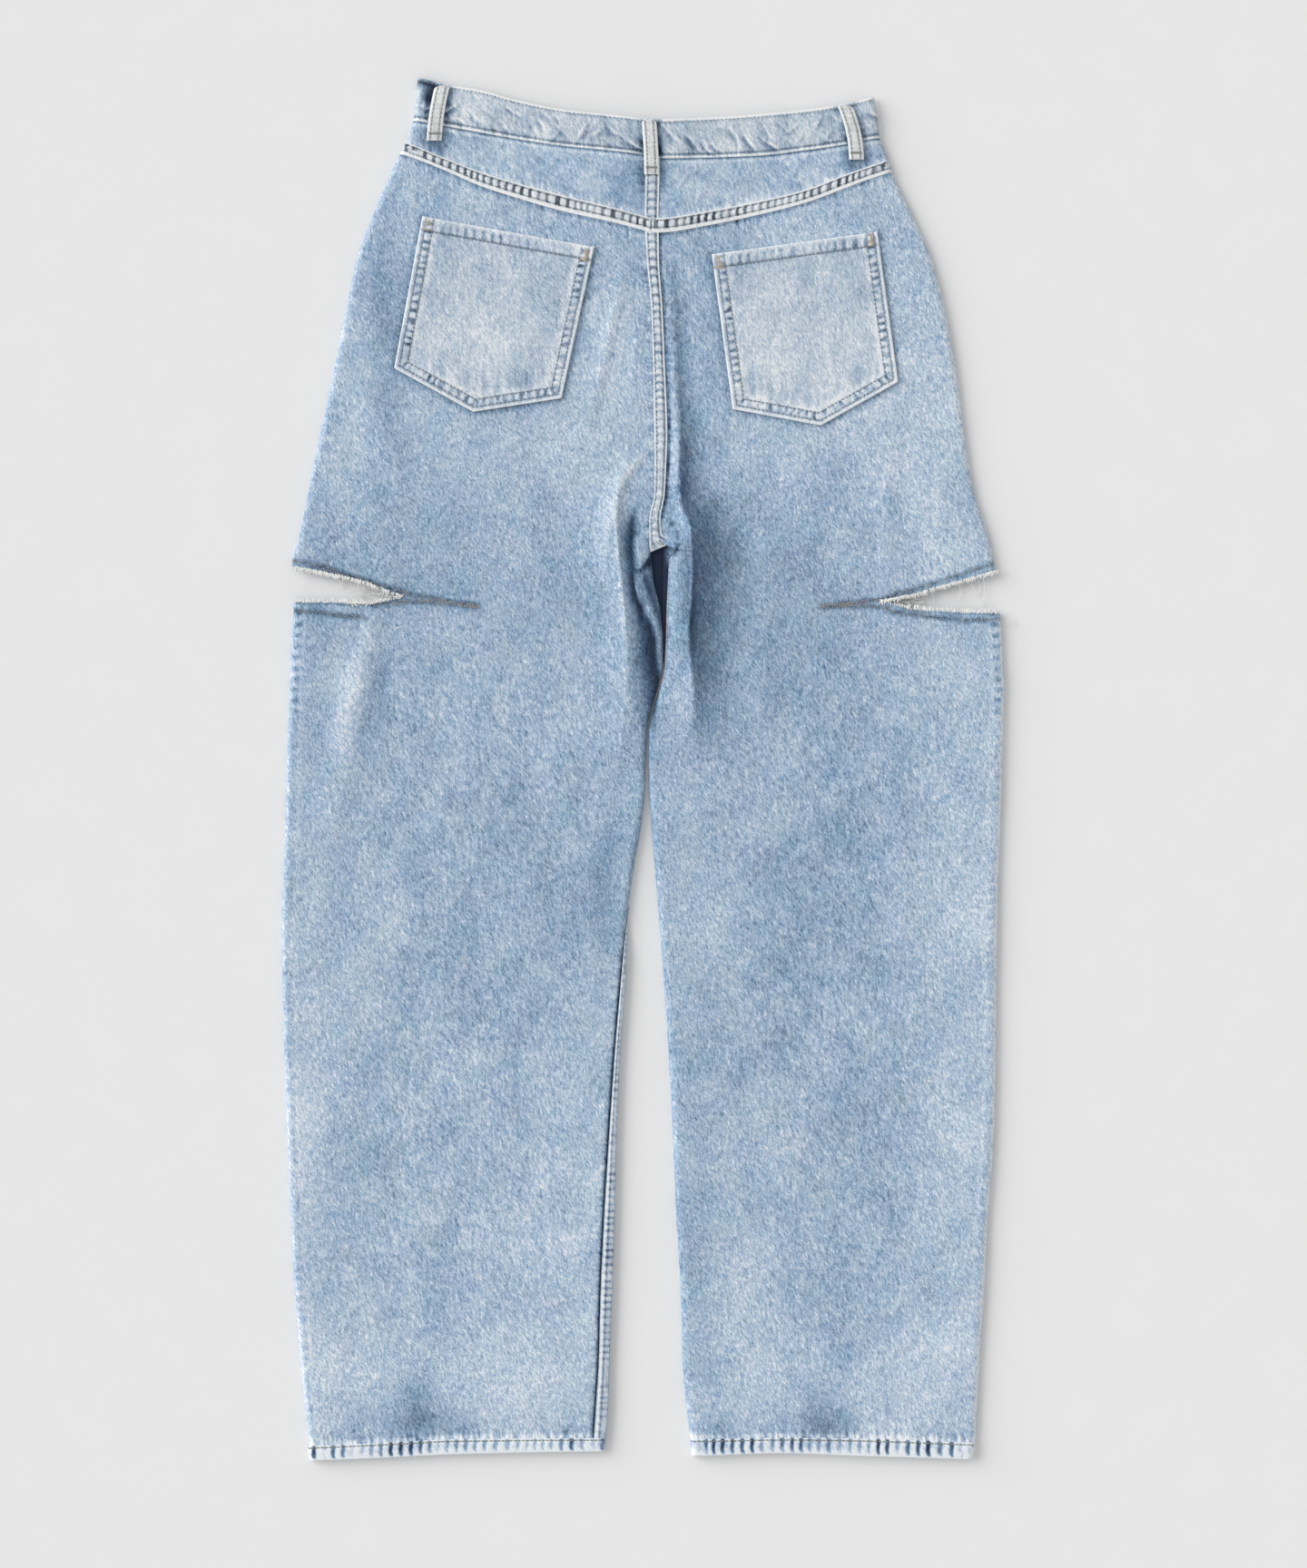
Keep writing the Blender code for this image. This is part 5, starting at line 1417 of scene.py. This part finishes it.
def start(name):
    """A new material with its tree, its shader, and places on the cloth in millimetres."""
    material = bpy.data.materials.new(name)
    material.use_nodes = True
    tree = material.node_tree
    tree.nodes.clear()
    shader = add(tree, "ShaderNodeBsdfPrincipled", {})
    add(tree, "ShaderNodeOutputMaterial", {"Surface": shader})
    metres = add(tree, "ShaderNodeTexCoord", {}).outputs["Object"]
    place = add(tree, "ShaderNodeVectorMath", {0: metres, 1: (1 / MM,) * 3}, operation="MULTIPLY")
    return material, tree, shader, place


def grain(tree, place, size, turn=0.0, detail=2.0, roughness=0.5, curl=0.0):
    """Noise about 0, in spots this many millimetres each way, turned and curled on the cloth."""
    turned = add(tree, "ShaderNodeMapping", {
        "Vector": place, "Rotation": (0, 0, turn), "Scale": size,
    }, vector_type="TEXTURE")
    noise = add(tree, "ShaderNodeTexNoise", {
        "Vector": turned, "Scale": 1.0, "Detail": detail, "Roughness": roughness,
        "Distortion": curl,
    })
    return add(tree, "ShaderNodeMath", {0: noise, 1: 0.5}, operation="SUBTRACT")


def layered(tree, total, *patterns):
    """A total with patterns laid over it, each one times its weight."""
    for pattern, weight in patterns:
        terms = {0: pattern, 1: weight, 2: total}
        total = add(tree, "ShaderNodeMath", terms, operation="MULTIPLY_ADD")
    return total


def ramp(colours, washes=(-1.6, -1.0, -0.6, -0.25, 0.0, 0.35, 0.7, 1.0)):
    """The colours of cloth that is this much washed out; below -1, the deepest ropes and painted
    shade.
    """
    return tuple(zip(washes, colours.split()))


# Below -1 the stops give the deepest dye of the ropes, and the colour of painted shade in the
# creases and the fork.
INDIGO = ramp("#1C2940 #4A617C #6B8298 #829BB5 #94ABC3 #ACBED1 #C6D2DF #E2E7EB")
FOXED = ramp("#222D3A #4E6277 #6E8296 #869AB0 #9AADC1 #B1BFCD #C9D2DB #E2E6E9")
RUBBED = ramp("#1E2A3E #50647B #72859A #8C9DB0 #A2B2C2 #B8C4CF #D0D7DE #E7E9EA")
GREYED = ramp("#2E343D #5E6874 #7E8994 #97A2AD #ABB5BF #BEC7CE #D3D8DC #E9EAEA")
UNDYED = ramp("#2A2E33 #66696C #95989A #B3B6B7 #CDCFCF #E9EAE9", (-1.6, -1.0, -0.5, 0.0, 0.5, 1.0))


def washed_twill(name, dyes=INDIGO, shift=0.0, fleck=1.0, sheen=0.18):
    """Cotton denim: blue warp over white weft, garment-washed. The dye sits on the outside of the
    warp yarns, so wear shows as fuzzy white flecks along them, and the cloth looks dry and matt.
    """
    material, tree, shader, place = start(name)
    wash, pucker = (
        add(tree, "ShaderNodeAttribute", {}, attribute_name=layer).outputs["Fac"]
        for layer in ("wash", "pucker")
    )
    # Lint raised by the wash curls on the cloth in ends 3 mm long, drawn twice as wide as they are
    lint = grain(tree, place, (1.2, 2.9, 2.0), 0.45, roughness=0.65, curl=0.6)
    # Single curled fibres 6 mm long, drawn 0.7 mm wide: where a slow noise crosses zero, in places
    fibre = grain(tree, place, (4.6, 6.5, 5.0), 0.4, detail=1.5, curl=1.6)
    fibre = add(tree, "ShaderNodeMath", {0: fibre}, operation="ABSOLUTE")
    fibre = add(tree, "ShaderNodeMapRange", {
        "Value": fibre, "From Max": 0.035, "To Min": 1.0, "To Max": 0.0,
    })
    some = grain(tree, place, (5.0, 5.0, 5.0), 1.0, detail=1.0)
    some = add(tree, "ShaderNodeMapRange", {"Value": some, "From Min": 0.02, "From Max": 0.12})
    fibre = add(tree, "ShaderNodeMath", {0: fibre, 1: some}, operation="MULTIPLY")
    # Warp slubs, 7 mm long and drawn 1.4 mm wide, which is three yarns, so that they show
    slub = grain(tree, place, (1.2, 7.0, 3.0), 0.10, detail=1.0)
    # The twill line leans to the left. Its 0.9 mm pitch is drawn as broken lines of 1.5 mm
    twill = grain(tree, place, (1.2, 4.8, 3.0), 0.66, detail=1.0)
    speck = grain(tree, place, (1.0, 1.0, 1.0), detail=1.0)
    blotch = grain(tree, place, (11, 15, 11), 0.3, detail=3.0, roughness=0.65, curl=0.4)
    broad = grain(tree, place, (32, 46, 30), -0.2, detail=3.0, roughness=0.6)
    patterns = (
        (lint, 2.0), (fibre, 0.5), (slub, 1.2), (twill, 1.35), (speck, 1.1), (blotch, 0.5),
        (broad, 0.75),
    )
    texture = layered(tree, 0.0, *((pattern, weight * fleck) for pattern, weight in patterns))
    # Where the cloth is darker, from kept dye and from painted shade, it shows fewer of these
    fewer_flecks_where_dark = add(tree, "ShaderNodeMapRange", {
        "Value": wash, "From Min": -1.5, "From Max": 0.0, "To Min": 0.35,
    })
    texture = add(tree, "ShaderNodeMath", {0: texture, 1: fewer_flecks_where_dark}, operation="MULTIPLY")
    # Gathers beside the seams: upright ones at a seam across, and the other way at one that runs up
    gathers = []
    for size, turn, side in (((3.0, 22, 9), 0.12, "MAXIMUM"), ((22, 3.0, 9), -0.10, "MINIMUM")):
        gather = grain(tree, place, size, turn, detail=1.0)
        here = add(tree, "ShaderNodeMath", {0: pucker, 1: 0.0}, operation=side)
        gathers.append(add(tree, "ShaderNodeMath", {0: gather, 1: here}, operation="MULTIPLY"))
    upright, crossing = gathers
    level = add(tree, "ShaderNodeMath", {0: wash, 1: shift})
    level = add(tree, "ShaderNodeMath", {0: level, 1: texture})
    level = layered(tree, level, (upright, 2.3), (crossing, -2.3))
    low, high = dyes[0][0], dyes[-1][0]
    level = add(tree, "ShaderNodeMapRange", {"Value": level, "From Min": low, "From Max": high})
    dyed = add(tree, "ShaderNodeValToRGB", {"Fac": level})
    stops = dyed.color_ramp.elements
    while len(stops) < len(dyes):
        stops.new(0.5)
    for stop, (value, colour) in zip(stops, dyes):
        stop.position = (value - low) / (high - low)
        stop.color = linear(colour)
    # The dye washed out unevenly, so here the blue leans to green and there to violet or to grey
    green = grain(tree, place, (23, 31, 23), 0.9, detail=3.0, roughness=0.7)
    grey = grain(tree, place, (15, 20, 15), -0.5, detail=3.0, roughness=0.75)
    dyed = add(tree, "ShaderNodeHueSaturation", {
        "Hue": layered(tree, 0.5, (green, 0.045)),
        "Saturation": layered(tree, 1.0, (grey, 0.75)), "Color": dyed,
    })
    weave = layered(tree, lint, (twill, 0.8), (upright, 5.0), (crossing, -5.0))
    give(tree, shader, {
        "Base Color": dyed, "Roughness": layered(tree, 0.88, (speck, 0.16)),
        "Normal": add(tree, "ShaderNodeBump", {
            "Height": weave, "Strength": 0.55, "Distance": 0.0005,
        }),
        "Specular IOR Level": 0.15, "Sheen Weight": sheen, "Sheen Roughness": 0.6,
        "Sheen Tint": linear("#DDE6F0"),
    })
    return material


def cotton_thread(name, colour, spread=0.10):
    """Spun cotton thread, washed: matt, with a twist that breaks up its edge and its colour."""
    material, tree, shader, place = start(name)
    twist = grain(tree, place, (0.9, 0.9, 0.9), 0.6)
    fade = grain(tree, place, (9, 9, 9))
    value = layered(tree, 1.0, (twist, 4 * spread), (fade, 3 * spread))
    dyed = linear(colour)
    give(tree, shader, {
        "Base Color": add(tree, "ShaderNodeHueSaturation", {"Color": dyed, "Value": value}),
        "Normal": add(tree, "ShaderNodeBump", {
            "Height": twist, "Strength": 0.6, "Distance": 0.0003,
        }),
        "Roughness": 0.85, "Specular IOR Level": 0.2, "Sheen Weight": 0.2,
    })
    return material


def aged_brass(name):
    """Stamped brass with a tumbled finish: warm, dulled in its hollows, with fine scratches."""
    material, tree, shader, place = start(name)
    scratch = grain(tree, place, (0.35, 5, 5), 0.5, detail=3.0)
    tarnish = grain(tree, place, (4, 4, 4), detail=4.0)
    value = layered(tree, 1.0, (scratch, 0.3), (tarnish, 0.7))
    brass = linear("#B08A4E")
    give(tree, shader, {
        "Base Color": add(tree, "ShaderNodeHueSaturation", {"Color": brass, "Value": value}),
        "Roughness": layered(tree, 0.42, (scratch, 0.3), (tarnish, 0.3)),
        "Normal": add(tree, "ShaderNodeBump", {
            "Height": scratch, "Strength": 0.3, "Distance": 0.0001,
        }),
        "Metallic": 1.0,
    })
    return material


def pale_paper(name):
    """Seamless studio paper: matt, pale and even, with a trace of tooth."""
    material, tree, shader, place = start(name)
    value = layered(tree, 1.0, (grain(tree, place, (40, 40, 40), detail=3.0), 0.02))
    paper = linear("#E6E6E6")
    give(tree, shader, {
        "Base Color": add(tree, "ShaderNodeHueSaturation", {"Color": paper, "Value": value}),
        "Roughness": 0.95, "Specular IOR Level": 0.0,
    })
    return material


# Floor, light and camera

FLOOR_REACH, FLOOR_BELOW = 30.0, -0.0002


def floor(material):
    mesh = bpy.data.meshes.new("floor")
    corners = [
        (FLOOR_REACH * x, FLOOR_REACH * y, FLOOR_BELOW)
        for x, y in ((-1, -1), (1, -1), (1, 1), (-1, 1))
    ]
    mesh.from_pydata(corners, [], [(0, 1, 2, 3)])
    mesh.materials.append(material)
    object_of("floor", mesh)


SKY_SHARE = 0.64
SUN_HEIGHT = 26.0
SUN_FROM = 158.0
SUN_SPREAD = 48.0


def light():
    """An even tent of light with one soft lamp from the upper left."""
    world = bpy.data.worlds.new("studio")
    world.use_nodes = True
    tree = world.node_tree
    give(tree, tree.nodes["Background"], {"Color": (1, 1, 1, 1), "Strength": SKY_SHARE})
    bpy.context.scene.world = world
    lamp = bpy.data.lights.new("soft_lamp", "SUN")
    lamp.angle = math.radians(SUN_SPREAD)
    lamp.energy = (1 - SKY_SHARE) * math.pi / math.sin(math.radians(SUN_HEIGHT))
    turned = (math.radians(90 - SUN_HEIGHT), 0, math.radians(SUN_FROM - 270))
    object_of("soft_lamp", lamp).rotation_euler = turned


SENSOR_WIDTH = 36.0
CAMERA_HEIGHT = 3.0
VIEW_LENGTH = 1.2096
VIEW_MIDDLE = (0.0, 521.5)


def camera():
    """Straight overhead, with the whole garment in view."""
    lens = bpy.data.cameras.new("camera")
    lens.sensor_width = SENSOR_WIDTH
    lens.lens = SENSOR_WIDTH * CAMERA_HEIGHT / VIEW_LENGTH
    piece = object_of("camera", lens)
    piece.location = (*shown_at(*VIEW_MIDDLE, 0.0)[:2], CAMERA_HEIGHT)
    bpy.context.scene.camera = piece
    bpy.context.scene.view_settings.view_transform = "Standard"


for half in OUTWARD:
    front_panel(half)
    back_panel(half)
    yoke(half)
    yoke_seam(half)
    hem(half)
    hem(half, at_back=False)
centre_back_seam()
yoke_centre_seam()
inseam_left()
waistband()
for shape in POCKETS:
    pocket(shape)
for shape in LOOPS:
    belt_loop(shape)
fly()

panel_denim = washed_twill("washed_indigo_denim")
inside_denim = washed_twill("denim_inside", shift=0.25, fleck=1.3)
felled_denim = washed_twill("felled_seam_denim", dyes=RUBBED, fleck=0.75)
ladder_denim = washed_twill("yoke_seam_denim", dyes=GREYED, fleck=0.6)
hem_denim = washed_twill("hem_denim", fleck=0.8)
band_denim = washed_twill("waistband_denim", dyes=RUBBED, fleck=0.85)
yoke_denim = washed_twill("yoke_denim", fleck=0.85)
patch_denim = washed_twill("pocket_denim", dyes=FOXED, fleck=0.85)
loop_twill = washed_twill("loop_undyed_twill", dyes=UNDYED, shift=0.1, fleck=0.5)

# The finish of each piece of cloth, by how its name starts, and its material slot
FINISH = (
    ("back_", panel_denim, "denim"), ("front_", panel_denim, "denim"),
    ("yoke_seam", ladder_denim, "seam_denim"), ("yoke_centre", felled_denim, "seam_denim"),
    ("yoke_", yoke_denim, "denim"), ("centre_", felled_denim, "seam_denim"),
    ("inseam", felled_denim, "seam_denim"), ("hem_", hem_denim, "hem_denim"),
    ("waistband", band_denim, "waistband_denim"), ("pocket", patch_denim, "pocket_denim"),
    ("belt_loop", loop_twill, "loop_denim"), ("fly", panel_denim, "denim"),
)
for name, piece in made.items():
    material, slot = next((m, s) for prefix, m, s in FINISH if name.startswith(prefix))
    for finish in (material, inside_denim):
        piece.data.materials.append(finish)
    solid = piece.modifiers["Cloth"]
    solid.material_offset = solid.material_offset_rim = 1

stitch_thread = cotton_thread("grey_topstitch_thread", "#7F8284")
hem_thread = cotton_thread("olive_hem_thread", "#8F907C")
whip_thread = cotton_thread("grey_beige_whip_thread", "#A9A8A2")
tail_thread = cotton_thread("brown_beige_whip_thread", "#9B968E")
tack_thread = cotton_thread("tan_tack_thread", "#BDB3A4")
grey_tack = cotton_thread("grey_tack_thread", "#8F908E")
overlock_thread = cotton_thread("pinkish_overlock_thread", "#CDC3BF")
white_cotton = cotton_thread("undyed_loose_cotton", "#EDEEEB", spread=0.05)
sew(stitch_thread, hem_thread)
bartacks(grey_tack, tack_thread)
fork_thread(overlock_thread)
slit_thread(whip_thread, tail_thread)
fray(white_cotton)
lint(white_cotton)

for name, cut in CUTS.items():
    [made[under] for under in cut.rests_on]
    [made[on_it] for on_it in cut.carries]

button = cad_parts["waist_button"]
button.data.materials.clear()
button.data.materials.append(aged_brass("aged_brass"))

floor(pale_paper("studio_paper"))
light()
camera()
